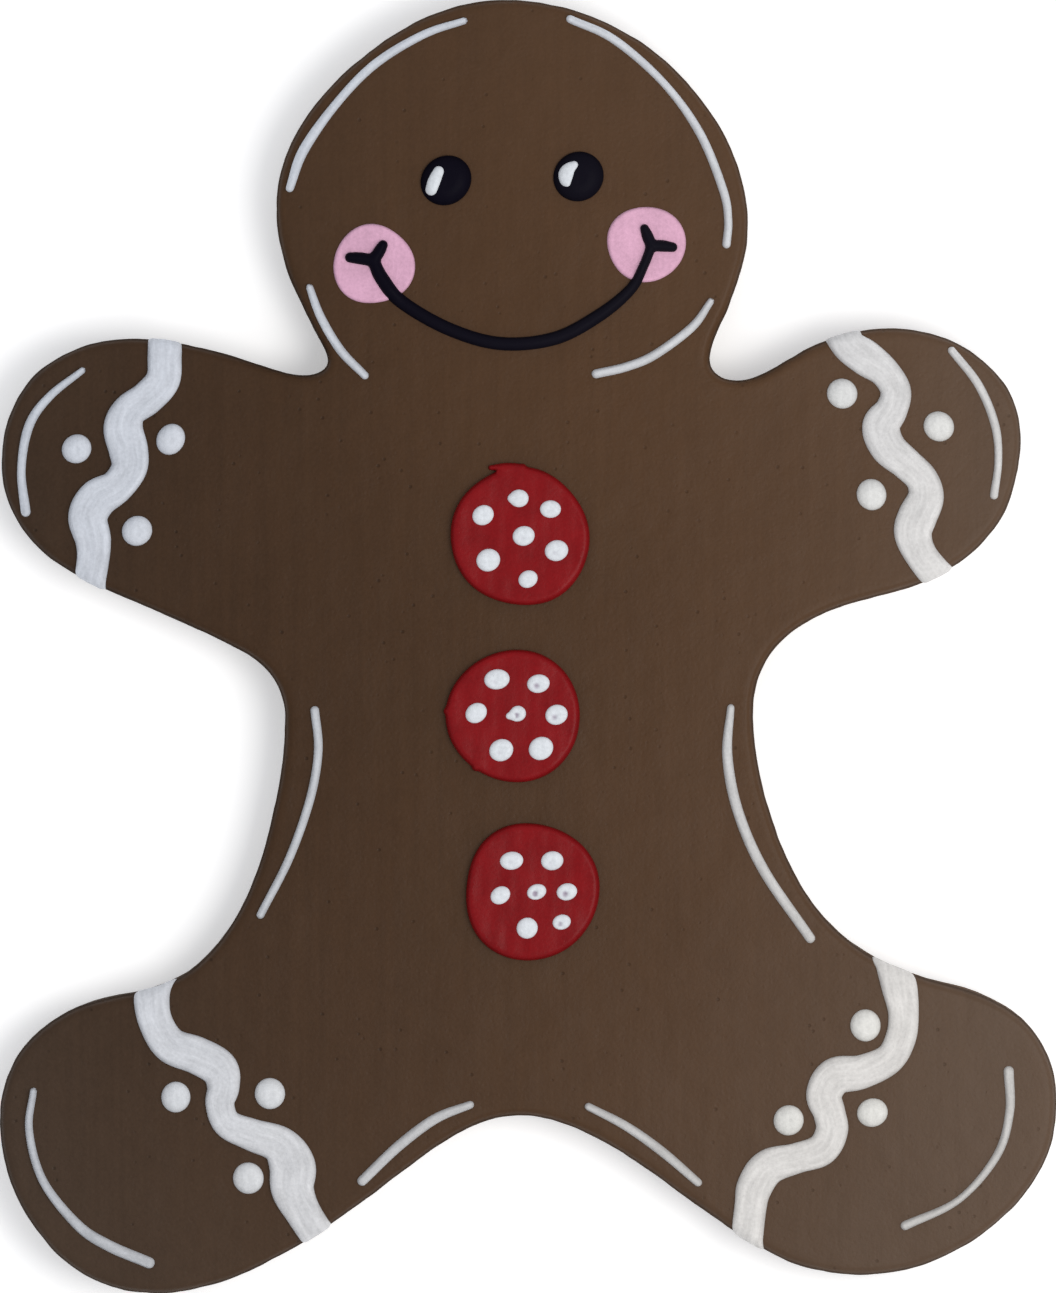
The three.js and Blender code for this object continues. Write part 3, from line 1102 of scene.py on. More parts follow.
class Shell:
    """A closed mesh under construction, in millimetres."""

    def __init__(self) -> None:
        """Starts with nothing."""
        self._points: list[Array] = []
        self._flows: list[Array] = []
        self._faces: list[Sequence[int]] = []
        self._count = 0

    def add(self, points: Array, flow: Array | None = None) -> Array:
        """Adds points.

        Args:
            points: a row each.
            flow: their place in the icing's flow, along it and across it, and its thinness there.

        Returns:
            Their numbers in the mesh.
        """
        self._points.append(points)
        self._flows.append(np.zeros_like(points) if flow is None else flow)
        self._count += len(points)
        return np.arange(self._count - len(points), self._count)

    def cover(self, patch: Patch, numbers: Array, facing_up: bool) -> None:
        """Adds a patch's faces, on points that are in the mesh under those numbers."""
        corners = numbers[np.array(patch.faces)]
        self._faces.extend((corners if facing_up else corners[:, ::-1]).tolist())

    def strip(self, upper: Array, lower: Array) -> None:
        """Joins two rings of as many points, both counter-clockwise."""
        quads = np.column_stack([upper, lower, np.roll(lower, -1), np.roll(upper, -1)])
        self._faces.extend(quads.tolist())

    def piece(self, name: str, finish: Finish, material: Material) -> bpy.types.Object:
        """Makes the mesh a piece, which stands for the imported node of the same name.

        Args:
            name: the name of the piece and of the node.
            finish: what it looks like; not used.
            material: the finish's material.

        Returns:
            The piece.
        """
        mesh = bpy.data.meshes.new(name)
        mesh.from_pydata((np.vstack(self._points) * MM).tolist(), [], self._faces)
        mesh.shade_smooth()
        attribute = mesh.attributes.new(FLOW, "FLOAT_VECTOR", "POINT")
        attribute.data.foreach_set("vector", np.vstack(self._flows).astype(np.float32).ravel())
        mesh.materials.append(material)
        piece = bpy.data.objects.new(f"{name}.dressed", mesh)
        bpy.context.scene.collection.objects.link(piece)
        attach(piece, BODY)
        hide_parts(name)
        log.info("%s: %d points, %d faces", name, len(mesh.vertices), len(mesh.polygons))
        return piece


# ---- The dough ------------------------------------------------------------------------------


class Bed(ABC):
    """A surface that icing can lie on."""

    @abstractmethod
    def lay(self, places: Array) -> tuple[Array, Array]:
        """Lays places on the surface.

        Args:
            places: the places in plan.

        Returns:
            The surface's points there, and which way it faces at each.
        """


@dataclass
class Dough(Bed):
    """The baked biscuit.

    Attributes:
        landmarks: the outline's, clockwise from the crown: each one's name, x, y and heading in degrees.
        landmark_steps: how many points the outline has from one landmark to the next.
        thickness: from the table to the flat top.
        shoulder_width: how far the rounded shoulder reaches in from the edge, in plan.
        shoulder_drop: how far it comes down.
        shoulder_steps: how many rows of points it has.
        wall_step: the distance between the rows of the upright side.
        foot_width: how far the rounded lower edge reaches in.
        foot_rise: how high it is.
        foot_steps: how many rows of points it has.
        pace: the distance between the outline's points.
        cell: the distance between the top's points.
        back_cell: the distance between the back's.
        clear: how far these keep from the edge of their face, as a share of that distance.
        skin_swells: the unevenness of the top.
        side_swells: the unevenness of the side.
        finish: what the dough looks like.
        loop: the outline.
        shoulder_length: how far it is over the shoulder, measured on the skin.
    """

    landmarks: Sequence[Landmark] = (
        ("crown", -2.4, 75, 0),
        ("brow right", 12.7, 70.4, 327),
        ("temple right", 19.5, 64.2, 310),
        ("head right", 25.5, 48.8, 270),
        ("jaw right", 23.2, 39.3, 248),
        ("neck right", 21.1, 33.3, 269),
        ("neck right, lowest", 24.1, 30.9, 0),
        ("shoulder right", 29.9, 33.1, 32),
        ("arm right, highest", 41.8, 36.9, 0),
        ("fingers right", 49.3, 35.4, 335),
        ("hand right", 57.2, 24.4, 270),
        ("palm right", 55.5, 16.1, 246),
        ("wrist right", 49.4, 9.3, 214),
        ("armpit right", 41.6, 6.1, 194),
        ("ribs right", 28.7, -0.1, 229),
        ("waist right", 26.1, -7.7, 270),
        ("flank right", 29, -22.1, 290),
        ("thigh right", 36.5, -33.5, 319),
        ("hip right", 47.3, -38.8, 346),
        ("knee right", 57.1, -43, 320),
        ("foot right", 61.3, -52.6, 270),
        ("heel right", 59.8, -59.9, 244),
        ("sole right, outer", 46.2, -71.6, 200),
        ("sole right", 38.9, -72.9, 180),
        ("sole right, inner", 28.4, -70.5, 153),
        ("leg right", 18.8, -64.2, 145),
        ("crotch right", 5.1, -55.7, 159),
        ("crotch", -1, -54.4, 180),
        ("leg left", -13.6, -60.2, 217),
        ("sole left, inner", -30.9, -71.8, 206),
        ("sole left", -43.3, -75, 180),
        ("sole left, outer", -52.7, -72.1, 144),
        ("heel left", -58.6, -65.2, 119),
        ("foot left", -61.3, -55, 90),
        ("knee left", -59.3, -47.6, 58),
        ("hip left", -47.4, -40.5, 9),
        ("thigh left", -39.3, -37.6, 36),
        ("flank left", -30.2, -21.9, 75),
        ("waist left", -28.2, -8.5, 90),
        ("ribs left", -29.3, -4, 120),
        ("armpit left", -36.2, 1, 154),
        ("wrist left", -47.1, 5.8, 156),
        ("palm left", -57, 11.7, 135),
        ("hand left", -61.1, 21.3, 90),
        ("fingers left", -56.4, 32.2, 40),
        ("arm left, highest", -45.6, 35.7, 0),
        ("shoulder left", -31.8, 32.9, 343),
        ("neck left, lowest", -25.9, 31.5, 0),
        ("neck left", -23.2, 33.2, 90),
        ("jaw left", -24.3, 35.9, 118),
        ("head left", -29.2, 50.6, 90),
        ("temple left", -26.5, 60.2, 59),
        ("brow left", -20.6, 67.2, 41),
        ("crown left", -13, 72.4, 28),
    )
    landmark_steps: int = 40
    thickness: float = 8.0
    shoulder_width: float = 1.0
    shoulder_drop: float = 1.6
    shoulder_steps: int = 6
    wall_step: float = 0.5
    foot_width: float = 0.5
    foot_rise: float = 0.7
    foot_steps: int = 3
    pace: float = 0.45
    cell: float = 0.48
    back_cell: float = 1.2
    clear: float = 0.6
    skin_swells: Sequence[Swell] = (
        Swell(0.16, (17, 17), 3.1),
        Swell(0.07, (5.2, 5.2), 8.4),
        Swell(0.035, (1.9, 1.9), 5.7),
    )
    side_swells: Sequence[Swell] = (Swell(0.08, (4, 4, 6), 1.3), Swell(0.05, (1.3, 1.3, 1.3), 2.6))
    finish: Finish = Baked("baked_gingerbread", Slot.GINGERBREAD, specular=0.1, roughness=0.4)
    loop: Loop = field(init=False)
    shoulder_length: float = field(init=False)

    def __post_init__(self) -> None:
        """Works out the outline, and how far it is over the shoulder."""
        self.loop = Loop.spaced(self._outline(), self.pace)
        mean_radius = math.sqrt((self.shoulder_width**2 + self.shoulder_drop**2) / 2)
        self.shoulder_length = math.pi / 2 * mean_radius

    @staticmethod
    def _handle_share(near: float, far: float) -> float:
        """The length of a smooth curve's handle, by Hobby's formula and with its numbers.

        Args:
            near: how far the curve turns from its chord at the handle's end.
            far: the same at its other end.

        Returns:
            The handle's length over the chord's.
        """
        bend = (
            math.sqrt(2)
            * (math.sin(near) - math.sin(far) / 16)
            * (math.sin(far) - math.sin(near) / 16)
            * (math.cos(near) - math.cos(far))
        )
        slack = 1 + ((math.sqrt(5) - 1) * math.cos(near) + (3 - math.sqrt(5)) * math.cos(far)) / 2
        return (2 + bend) / (3 * slack)

    def _span(self, start: Landmark, end: Landmark) -> Array:
        """The smooth curve from one landmark to the next.

        Args:
            start: the landmark that it leaves.
            end: the landmark that it comes to.

        Returns:
            The curve's points but for the last, a row each.
        """
        _, x, y, heading = start
        _, next_x, next_y, next_heading = end
        chord = math.hypot(next_x - x, next_y - y)
        direction = math.atan2(next_y - y, next_x - x)
        out, into = math.radians(heading), math.radians(next_heading)
        leaving = math.remainder(out - direction, math.tau)
        arriving = math.remainder(direction - into, math.tau)
        handle = chord * self._handle_share(leaving, arriving)
        far_handle = chord * self._handle_share(arriving, leaving)
        first, last = np.array([x, y]), np.array([next_x, next_y])
        second = first + handle * np.array([math.cos(out), math.sin(out)])
        third = last - far_handle * np.array([math.cos(into), math.sin(into)])
        share = np.linspace(0, 1, self.landmark_steps, endpoint=False)[:, None]
        rest = 1 - share
        near_first = first * rest**3 + 3 * second * rest**2 * share
        return near_first + 3 * third * rest * share**2 + last * share**3

    def _outline(self) -> Array:
        """A close line of points that passes each landmark in its heading."""
        following = (*self.landmarks[1:], self.landmarks[0])
        return np.vstack([self._span(*pair) for pair in zip(self.landmarks, following)])

    def past_flat(self, places: Array) -> tuple[Array, Array, Array]:
        """How far places lie past the edge of the flat top, with their depth and outward direction."""
        depth, outward = self.loop.depth(places)
        return np.clip(self.shoulder_width - depth, 0, None), depth, outward

    def lay(self, places: Array) -> tuple[Array, Array]:
        """The dough's skin, which carries what lies past its flat top down over the shoulder."""
        past, depth, outward = self.past_flat(places)
        return self._skin(places[:, :2] + outward * depth[:, None], outward, depth, past)

    def _skin(self, rim: Array, outward: Array, depth: Array, past: Array) -> tuple[Array, Array]:
        """Points on the skin.

        Args:
            rim: the nearest points of the outline in plan.
            outward: the outward direction there.
            depth: how deep the points lie inside the outline, for those on the flat top.
            past: how far they lie past the flat top's edge, measured on the skin.

        Returns:
            The points, and which way the skin faces there.
        """
        side = past > 0
        angle = np.minimum(past / self.shoulder_length, 1) * (math.pi / 2)
        below = np.clip(past - self.shoulder_length, 0, None)
        inset = np.where(side, self.shoulder_width * (1 - np.sin(angle)), depth)
        level = self.thickness - self.shoulder_drop * (1 - np.cos(angle)) - below
        points = np.column_stack([rim - outward * inset[:, None], level])
        points[:, 2] += np.cos(angle) * risen(self.skin_swells, points)
        bulge = np.sin(angle[side]) * risen(self.side_swells, points[side])
        points[side, :2] += outward[side] * bulge[:, None]
        sideways = (self.shoulder_drop * np.sin(angle))[:, None] * outward
        facing = np.column_stack([sideways, self.shoulder_width * np.cos(angle)])
        return points, facing / np.linalg.norm(facing, axis=1)[:, None]

    def _ring(self, past: float, inset: float = 0.0) -> Array:
        """A row of points round the edge.

        Args:
            past: how far past the flat top they lie, measured on the skin.
            inset: how far they are then moved in.

        Returns:
            The points.
        """
        loop = self.loop
        count = len(loop.points)
        points, _ = self._skin(loop.points, loop.outward, np.zeros(count), np.full(count, past))
        points[:, :2] -= inset * loop.outward
        return points

    def bake(self) -> bpy.types.Object:
        """Makes the biscuit.

        Returns:
            The piece.
        """
        shell = Shell()
        flat = self.loop.inset(self.shoulder_width)
        top = Patch.fill(flat, grid_inside(flat, self.cell, self.clear * self.cell))
        numbers = shell.add(self.lay(top.places)[0])
        shell.cover(top, numbers, facing_up=True)
        ring = numbers[top.rim]
        wall = self.thickness - self.shoulder_drop - self.foot_rise
        shoulder = np.linspace(0, self.shoulder_length, self.shoulder_steps + 1)[1:]
        side = self.shoulder_length + np.linspace(0, wall, round(wall / self.wall_step) + 1)[1:]
        rows = [self._ring(past) for past in (*shoulder, *side)]
        for step in range(1, self.foot_steps + 1):
            angle = math.pi / 2 * step / self.foot_steps
            past = side[-1] + self.foot_rise * math.sin(angle)
            rows.append(self._ring(past, self.foot_width * (1 - math.cos(angle))))
        rows[-1][:, 2] = 0
        for row in rows:
            lower = shell.add(row)
            shell.strip(ring, lower)
            ring = lower
        foot = Loop(rows[-1][:, :2])
        back = Patch.fill(foot, grid_inside(foot, self.back_cell, self.clear * self.back_cell))
        inner = np.setdiff1d(np.arange(len(back.places)), back.rim)
        numbers = np.empty(len(back.places), int)
        numbers[back.rim] = ring
        numbers[inner] = shell.add(np.column_stack([back.places[inner], np.zeros(len(inner))]))
        shell.cover(back, numbers, facing_up=False)
        return shell.piece("biscuit", self.finish, self.finish.material())


# ---- Layers of icing ------------------------------------------------------------------------


@dataclass
class Bridged(Bed):
    """A bed as a thick line of icing lies on it, with its steps smoothed over.

    Attributes:
        bed: the bed.
        rings: how far off the levels are taken that each place's level is the mean of.
        spokes: how many are taken at each of those distances.
    """

    bed: Bed
    rings: Sequence[float] = (0.45, 0.9)
    spokes: int = 8

    def lay(self, places: Array) -> tuple[Array, Array]:
        """Lays places on the smoothed surface.

        Args:
            places: the places in plan.

        Returns:
            The surface's points there, and which way it faces at each.
        """
        points, facing = self.bed.lay(places)
        turns = np.arange(self.spokes) * math.tau / self.spokes
        around = np.column_stack([np.cos(turns), np.sin(turns)])
        levels = [self.bed.lay(places + ring * step)[0][:, 2] for ring in self.rings for step in around]
        points[:, 2] = np.mean([points[:, 2], *levels], 0)
        return points, facing


@dataclass(frozen=True)
class Profile:
    """How a layer of icing stands on its bed, and how closely it is meshed.

    Attributes:
        height: how high it stands.
        rim: how wide its rounded rim is, or None for half its width.
        sink: how far its edge is sunk in its bed.
        ridges: its unevenness, along its flow and across it.
        dimple: how deep a dent the tip left in it.
        dimple_place: where that is, up and to the right of its middle, over half its width.
        dimple_width: how wide that is, over half its width.
        pace: the distance between its outline's points.
        trace_cell: the cell of the grid that finds its outline.
        rim_steps: how many rows of points its rim has.
        cell: the distance between the points on its top, or None where only its spine's lie there.
        clear: how far those keep from the last row, over that distance.
        spine_rim: the share of its rim that has rows, where its spine's points lie beyond them.
        spine_clear: how far these keep from the last row.
    """

    height: float
    rim: float | None = None
    sink: float = 0.18
    ridges: Sequence[Swell] = ()
    dimple: float = 0.0
    dimple_place: Pair = (-0.25, -0.2)
    dimple_width: float = 0.4
    pace: float = 0.2
    trace_cell: float = 0.12
    rim_steps: int = 4
    cell: float | None = None
    clear: float = 0.5
    spine_rim: float = 0.75
    spine_clear: float = 0.05


@dataclass
class Layer(Bed):
    """A closed layer of icing, which rises from a sunk edge over a rounded rim to its height.

    Attributes:
        footprint: the area that it covers.
        bed: what it lies on.
        profile: how it stands on its bed.
        loop: its outline.
    """

    footprint: Footprint
    bed: Bed
    profile: Profile
    loop: Loop = field(init=False)

    def __post_init__(self) -> None:
        """Follows the footprint's edge."""
        self.loop = self.footprint.trace(self.profile.trace_cell, self.profile.pace)

    def dips(self, places: Array) -> Array:
        """How far the icing stays below its height, because it is uneven.

        Args:
            places: the places in plan.

        Returns:
            The distances, one to a place.
        """
        along, across, half = self.footprint.follow(places)
        up, right = self.profile.dimple_place
        off = np.hypot(along / half - up, across / half - right)
        dent = self.profile.dimple * np.exp(-((off / self.profile.dimple_width) ** 2))
        return dent - risen(self.profile.ridges, np.column_stack([along, across]))

    def rise(self, places: Array) -> Array:
        """How far the icing stands above its bed.

        Args:
            places: the places in plan.

        Returns:
            The distances, below 0 at the sunk edge.
        """
        depth, _ = self.loop.depth(places)
        sink, rim = self.profile.sink, self.profile.rim
        if rim is None:
            _, _, rim = self.footprint.follow(places)
        rounding = np.sqrt(1 - (1 - np.clip(depth / rim, 0, 1)) ** 2)
        return (self.profile.height + sink - self.dips(places)) * rounding - sink

    def lay(self, places: Array) -> tuple[Array, Array]:
        """Lays places on the icing, or on its bed where there is no icing."""
        points, facing = self.bed.lay(places)
        return points + facing * np.clip(self.rise(places), 0, None)[:, None], facing

    def _inner_points(self) -> list[Array]:
        """The points in plan inside the outline: rows round the rim, and a grid or the spine within.

        Returns:
            The points, in two arrays.
        """
        profile = self.profile
        rim = profile.rim or self.footprint.follow(self.loop.points)[2].min()
        share = np.arange(1, profile.rim_steps + 1) / profile.rim_steps
        insets = (1 if profile.cell else profile.spine_rim) * rim * (1 - np.cos(math.pi / 2 * share))
        rows = rows_inside(self.loop, insets)
        if profile.cell:
            margin = insets[-1] + profile.clear * profile.cell
            return [rows, grid_inside(self.loop, profile.cell, margin)]
        spine = self.footprint.spine()
        return [rows, spine[self.loop.depth(spine)[0] > insets[-1] + profile.spine_clear]]

    def pipe(self, name: str, finish: Finish, material: Material) -> bpy.types.Object:
        """Makes the piece of icing.

        Args:
            name: its name.
            finish: what it looks like.
            material: the finish's material.

        Returns:
            The piece.
        """
        patch = Patch.fill(self.loop, *self._inner_points())
        points, facing = self.bed.lay(patch.places)
        along, across, _ = self.footprint.follow(patch.places)
        flow = np.column_stack([along, across, self.dips(patch.places) / self.profile.height])
        shell = Shell()
        numbers = shell.add(points + facing * self.rise(patch.places)[:, None], flow)
        shell.cover(patch, numbers, facing_up=True)
        base = Patch.fill(self.loop)
        under = np.empty(len(base.places), int)
        under[base.rim] = numbers[patch.rim]
        shell.cover(base, under, facing_up=False)
        return shell.piece(name, finish, material)


@dataclass
class EdgeLayer(Layer):
    """A layer on the dough that thins out to a share of its height where it is bent over the shoulder."""

    bed: Dough
    thinnest: float = 0.15

    def rise(self, places: Array) -> Array:
        """How far the icing stands above the dough.

        Args:
            places: the places in plan.

        Returns:
            The distances, below 0 at the sunk edge.
        """
        past, _, _ = self.bed.past_flat(places)
        share = np.clip(past / self.bed.shoulder_length, 0, 1)
        smooth = share**2 * (3 - 2 * share)
        return super().rise(places) * (1 - (1 - self.thinnest) * smooth)


# ---- The decoration -------------------------------------------------------------------------

# Painted light: each icing goes over to its second colour towards the lower right, brighter and warmer
# where it differs.
PIPED = Icing(
    "white_piped_icing",
    Slot.WHITE,
    specular=0.15,
    colour=(0.585, 0.615, 0.675),
    painted_light_colour=(0.636, 0.617, 0.593),
    thin=(0.42, 0.40, 0.40),
    streaks=0.5,
    mottle=0.3,
    grain=0.35,
)
FINE = replace(
    PIPED,
    name="white_fine_lines",
    colour=(0.535, 0.565, 0.62),
    painted_light_colour=(0.57, 0.555, 0.535),
    mottle=0.15,
    lift=0.0017,
)
DROPPED = replace(
    PIPED,
    name="white_icing_drops",
    colour=(0.61, 0.64, 0.70),
    painted_light_colour=(0.69, 0.68, 0.645),
    thin=(0.48, 0.46, 0.46),
    streaks=0.25,
    mottle=0.2,
)
SPOTTED = replace(
    PIPED,
    name="white_icing_spots",
    colour=(0.685, 0.715, 0.75),
    painted_light_colour=(0.685, 0.715, 0.75),
    thin=(0.33, 0.28, 0.35),
    streaks=0.15,
    mottle=0.0,
    grain=0.4,
)
RED = Icing(
    "red_royal_icing",
    Slot.RED,
    specular=0.09,
    roughness=0.35,
    colour=(0.198, 0.0045, 0.0065),
    painted_light_colour=(0.198, 0.0045, 0.0065),
    thin=(0.15, 0.005, 0.006),
    streaks=0.0,
    mottle=0.45,
    grain=0.4,
    lift=0.0015,
    streak_depth=0.0,
)
PINK = Icing(
    "pink_dusted_icing",
    Slot.PINK,
    specular=0.15,
    roughness=0.6,
    colour=(0.66, 0.378, 0.52),
    painted_light_colour=(0.755, 0.42, 0.55),
    thin=(0.62, 0.45, 0.5),
    streaks=0.2,
    mottle=0.3,
    grain=0.4,
)
BLACK = Icing(
    "black_royal_icing",
    Slot.BLACK,
    specular=0.02,
    roughness=0.45,
    colour=(0.0022, 0.0015, 0.006),
    painted_light_colour=(0.0145, 0.0135, 0.0175),
    thin=(0.006, 0.004, 0.007),
)


@dataclass
class Bands:
    """The four zigzag bands across the arms and legs.

    Attributes:
        dough: what they lie on.
        strokes: each band's stations, which go on past the dough's edge at both ends.
        hem: how far the band goes on down the edge.
        hem_corner: the radius of the hem's corners.
        profile: how a band stands on the dough.
        finish: what it looks like.
    """

    dough: Dough
    strokes: Mapping[str, Stations] = field(
        default_factory=lambda: {
            "arm_left": (
                (-42, 37, 2), (-42.1, 33.7, 2), (-42.3, 30.9, 2), (-44.1, 28.8, 2), (-46.2, 27.3, 2),
                (-46.9, 25.3, 2.3), (-46.3, 22.8, 2.3), (-46.2, 20.7, 2.1), (-47.7, 18.5, 2),
                (-49.9, 17.1, 2.3), (-51, 15, 2.3), (-50.4, 12.4, 2.1), (-50.4, 10, 1.9), (-51, 6.6, 1.9),
            ),
            "arm_right": (
                (36, 37.6, 2.3), (37.1, 35, 2), (39.2, 33.4, 2.1), (41.3, 31.8, 1.8), (42.6, 29.6, 1.8),
                (42.1, 27.4, 1.9), (40.9, 25.5, 2.2), (41.7, 23.1, 2.1), (43.8, 21.2, 1.9),
                (45.6, 19.4, 1.9), (46.1, 17.3, 2.1), (45.1, 15, 2.3), (44.6, 13.1, 2.2),
                (45.6, 10.5, 1.9), (48.3, 7.1, 2),
            ),
            "leg_left": (
                (-43.2, -37.5, 2.2), (-43.6, -40.8, 2.1), (-43.1, -43.6, 2), (-41.4, -46.2, 2.1),
                (-38.3, -47.4, 2.2), (-35.8, -48.9, 2.2), (-35.3, -51, 1.9), (-35.7, -53, 1.7),
                (-34.8, -55.3, 1.7), (-31.9, -56.6, 1.9), (-28.7, -57.8, 2.2), (-27.3, -60.2, 2.7),
                (-27.3, -62.8, 2.5), (-26.1, -65.5, 2.1), (-23.9, -68.9, 2),
            ),
            "leg_right": (
                (42.2, -36.1, 2.1), (43, -39.3, 2.1), (43.5, -42.4, 1.8), (43.2, -45.3, 1.8),
                (41.8, -47.8, 1.8), (38.6, -49.3, 2), (35.6, -49.8, 2.2), (34.3, -51.9, 2.1),
                (34.9, -54, 1.9), (35.2, -56.1, 1.9), (34, -58.3, 1.9), (31.1, -59.3, 1.8),
                (27.9, -60.3, 2.1), (26.3, -62.5, 2.1), (25.8, -64.8, 1.9), (25.2, -70, 1.9),
            ),
        }
    )
    hem: float = 1.6
    hem_corner: float = 1.3
    profile: Profile = Profile(
        height=0.9,
        rim=0.75,
        ridges=(Swell(0.09, (6, 1.1), 4.2), Swell(0.04, (2.6, 0.45), 9.6), Swell(0.09, (4, 4), 7.7)),
        cell=0.2,
    )
    finish: Finish = PIPED

    def pipe(self) -> None:
        """Makes the bands."""
        material = self.finish.material()
        for limb, stations in self.strokes.items():
            footprint = UpToEdge(Stroke(stations), self.dough.loop, self.hem, self.hem_corner)
            band = EdgeLayer(footprint, self.dough, self.profile)
            band.pipe(f"band_{limb}", self.finish, material)


@dataclass
class Lines:
    """The thin lines along the dough's outline.

    Attributes:
        dough: what they lie on.
        strokes: each line's stations.
        profile: how a line stands on the dough.
        finish: what it looks like.
    """

    dough: Dough
    strokes: Mapping[str, Stations] = field(
        default_factory=lambda: {
            "head_left": (
                (-7.4, 72.5, 0.41), (-12.1, 70.9, 0.49), (-17.7, 67.5, 0.53), (-22.2, 62.9, 0.52),
                (-26, 57.5, 0.61), (-27.6, 53.1, 0.49),
            ),
            "head_right": (
                (4.9, 72.7, 0.49), (10, 70.3, 0.51), (15.7, 65.3, 0.47), (19.9, 59.5, 0.52),
                (22.6, 52.9, 0.51), (23.2, 49.4, 0.49), (23, 46.6, 0.5),
            ),
            "chin_left": (
                (-25.3, 41.6, 0.43), (-24, 38.1, 0.54), (-21.7, 34.3, 0.54), (-18.9, 31.4, 0.47),
            ),
            "chin_right": (
                (21.2, 40, 0.4), (19, 37, 0.52), (14.7, 33.8, 0.54), (11.4, 32.4, 0.54),
                (7.9, 31.6, 0.54),
            ),
            "hand_left": (
                (-51.6, 32, 0.38), (-55.4, 29, 0.5), (-57.8, 25.6, 0.56), (-58.7, 20.5, 0.51),
                (-58.2, 15.6, 0.59),
            ),
            "hand_right": (
                (49.1, 34.3, 0.48), (52.2, 30.3, 0.51), (54.1, 25.7, 0.51), (54.5, 21.6, 0.46),
                (54, 17.5, 0.49),
            ),
            "waist_left": (
                (-24.7, -7.4, 0.52), (-24.3, -12, 0.52), (-25.2, -17.5, 0.52), (-27.6, -24.4, 0.5),
                (-31, -31.1, 0.47),
            ),
            "waist_right": (
                (23.5, -7.1, 0.44), (23.1, -12.6, 0.61), (24.3, -19, 0.63), (27.3, -25.9, 0.64),
                (32.7, -33.8, 0.59),
            ),
            "foot_left": (
                (-57.3, -51.5, 0.41), (-57.8, -56.1, 0.47), (-56.2, -61.9, 0.51), (-52.2, -67, 0.61),
                (-48.6, -69.4, 0.68), (-43.9, -71.4, 0.67),
            ),
            "foot_right": (
                (55.7, -49.2, 0.61), (55.8, -54, 0.53), (54.3, -59, 0.49), (49.9, -64.1, 0.43),
                (43.7, -67.1, 0.55),
            ),
            "crotch_left": (
                (-6.7, -53.1, 0.47), (-10.7, -54.7, 0.6), (-14.9, -57.8, 0.62), (-19.2, -61.9, 0.6),
            ),
            "crotch_right": (
                (7, -53.3, 0.45), (11.4, -55.6, 0.54), (15.5, -58.5, 0.57), (19.7, -62.1, 0.49),
            ),
        }
    )
    profile: Profile = Profile(height=0.7, ridges=(Swell(0.12, (2.2, 2.2), 6.3),))
    finish: Finish = FINE

    def pipe(self) -> None:
        """Makes the lines."""
        material = self.finish.material()
        for place, stations in self.strokes.items():
            line = Layer(Stroke(stations), self.dough, self.profile)
            line.pipe(f"line_{place}", self.finish, material)


@dataclass
class Dots:
    """The three dots beside each band.

    Attributes:
        dough: what they lie on.
        rounds: the x, y, longer and shorter radius and tilt of each limb's dots.
        profile: how a dot stands on the dough.
        finish: what it looks like.
    """

    dough: Dough
    rounds: Mapping[str, Sequence[tuple[float, ...]]] = field(
        default_factory=lambda: {
            "arm_left": (
                (-52.3, 22.9, 1.79, 1.69, 38), (-41.4, 24, 1.9, 1.65, 61),
                (-45.3, 13.4, 1.84, 1.74, 42),
            ),
            "arm_right": (
                (36.4, 29.3, 1.82, 1.77, 146), (47.6, 25.5, 1.85, 1.75, 142),
                (39.8, 17.6, 1.87, 1.76, 105),
            ),
            "leg_left": (
                (-40.8, -52.2, 1.83, 1.73, 85), (-29.9, -51.8, 1.85, 1.8, 92),
                (-32.4, -61.6, 1.87, 1.82, 105),
            ),
            "leg_right": (
                (39.1, -43.9, 1.91, 1.8, 93), (39.9, -54, 1.84, 1.69, 19),
                (30.2, -54.9, 1.82, 1.77, 53),
            ),
        }
    )
    profile: Profile = Profile(
        height=1.0, rim=1.3, ridges=(Swell(0.16, (1.2, 1.2), 2.4),), dimple=0.14, cell=0.18
    )
    finish: Finish = DROPPED

    def pipe(self) -> None:
        """Makes the dots."""
        material = self.finish.material()
        for limb, rounds in self.rounds.items():
            for number, shape in enumerate(rounds, 1):
                dot = Layer(Round(*shape), self.dough, self.profile)
                dot.pipe(f"dot_{limb}_{number}", self.finish, material)


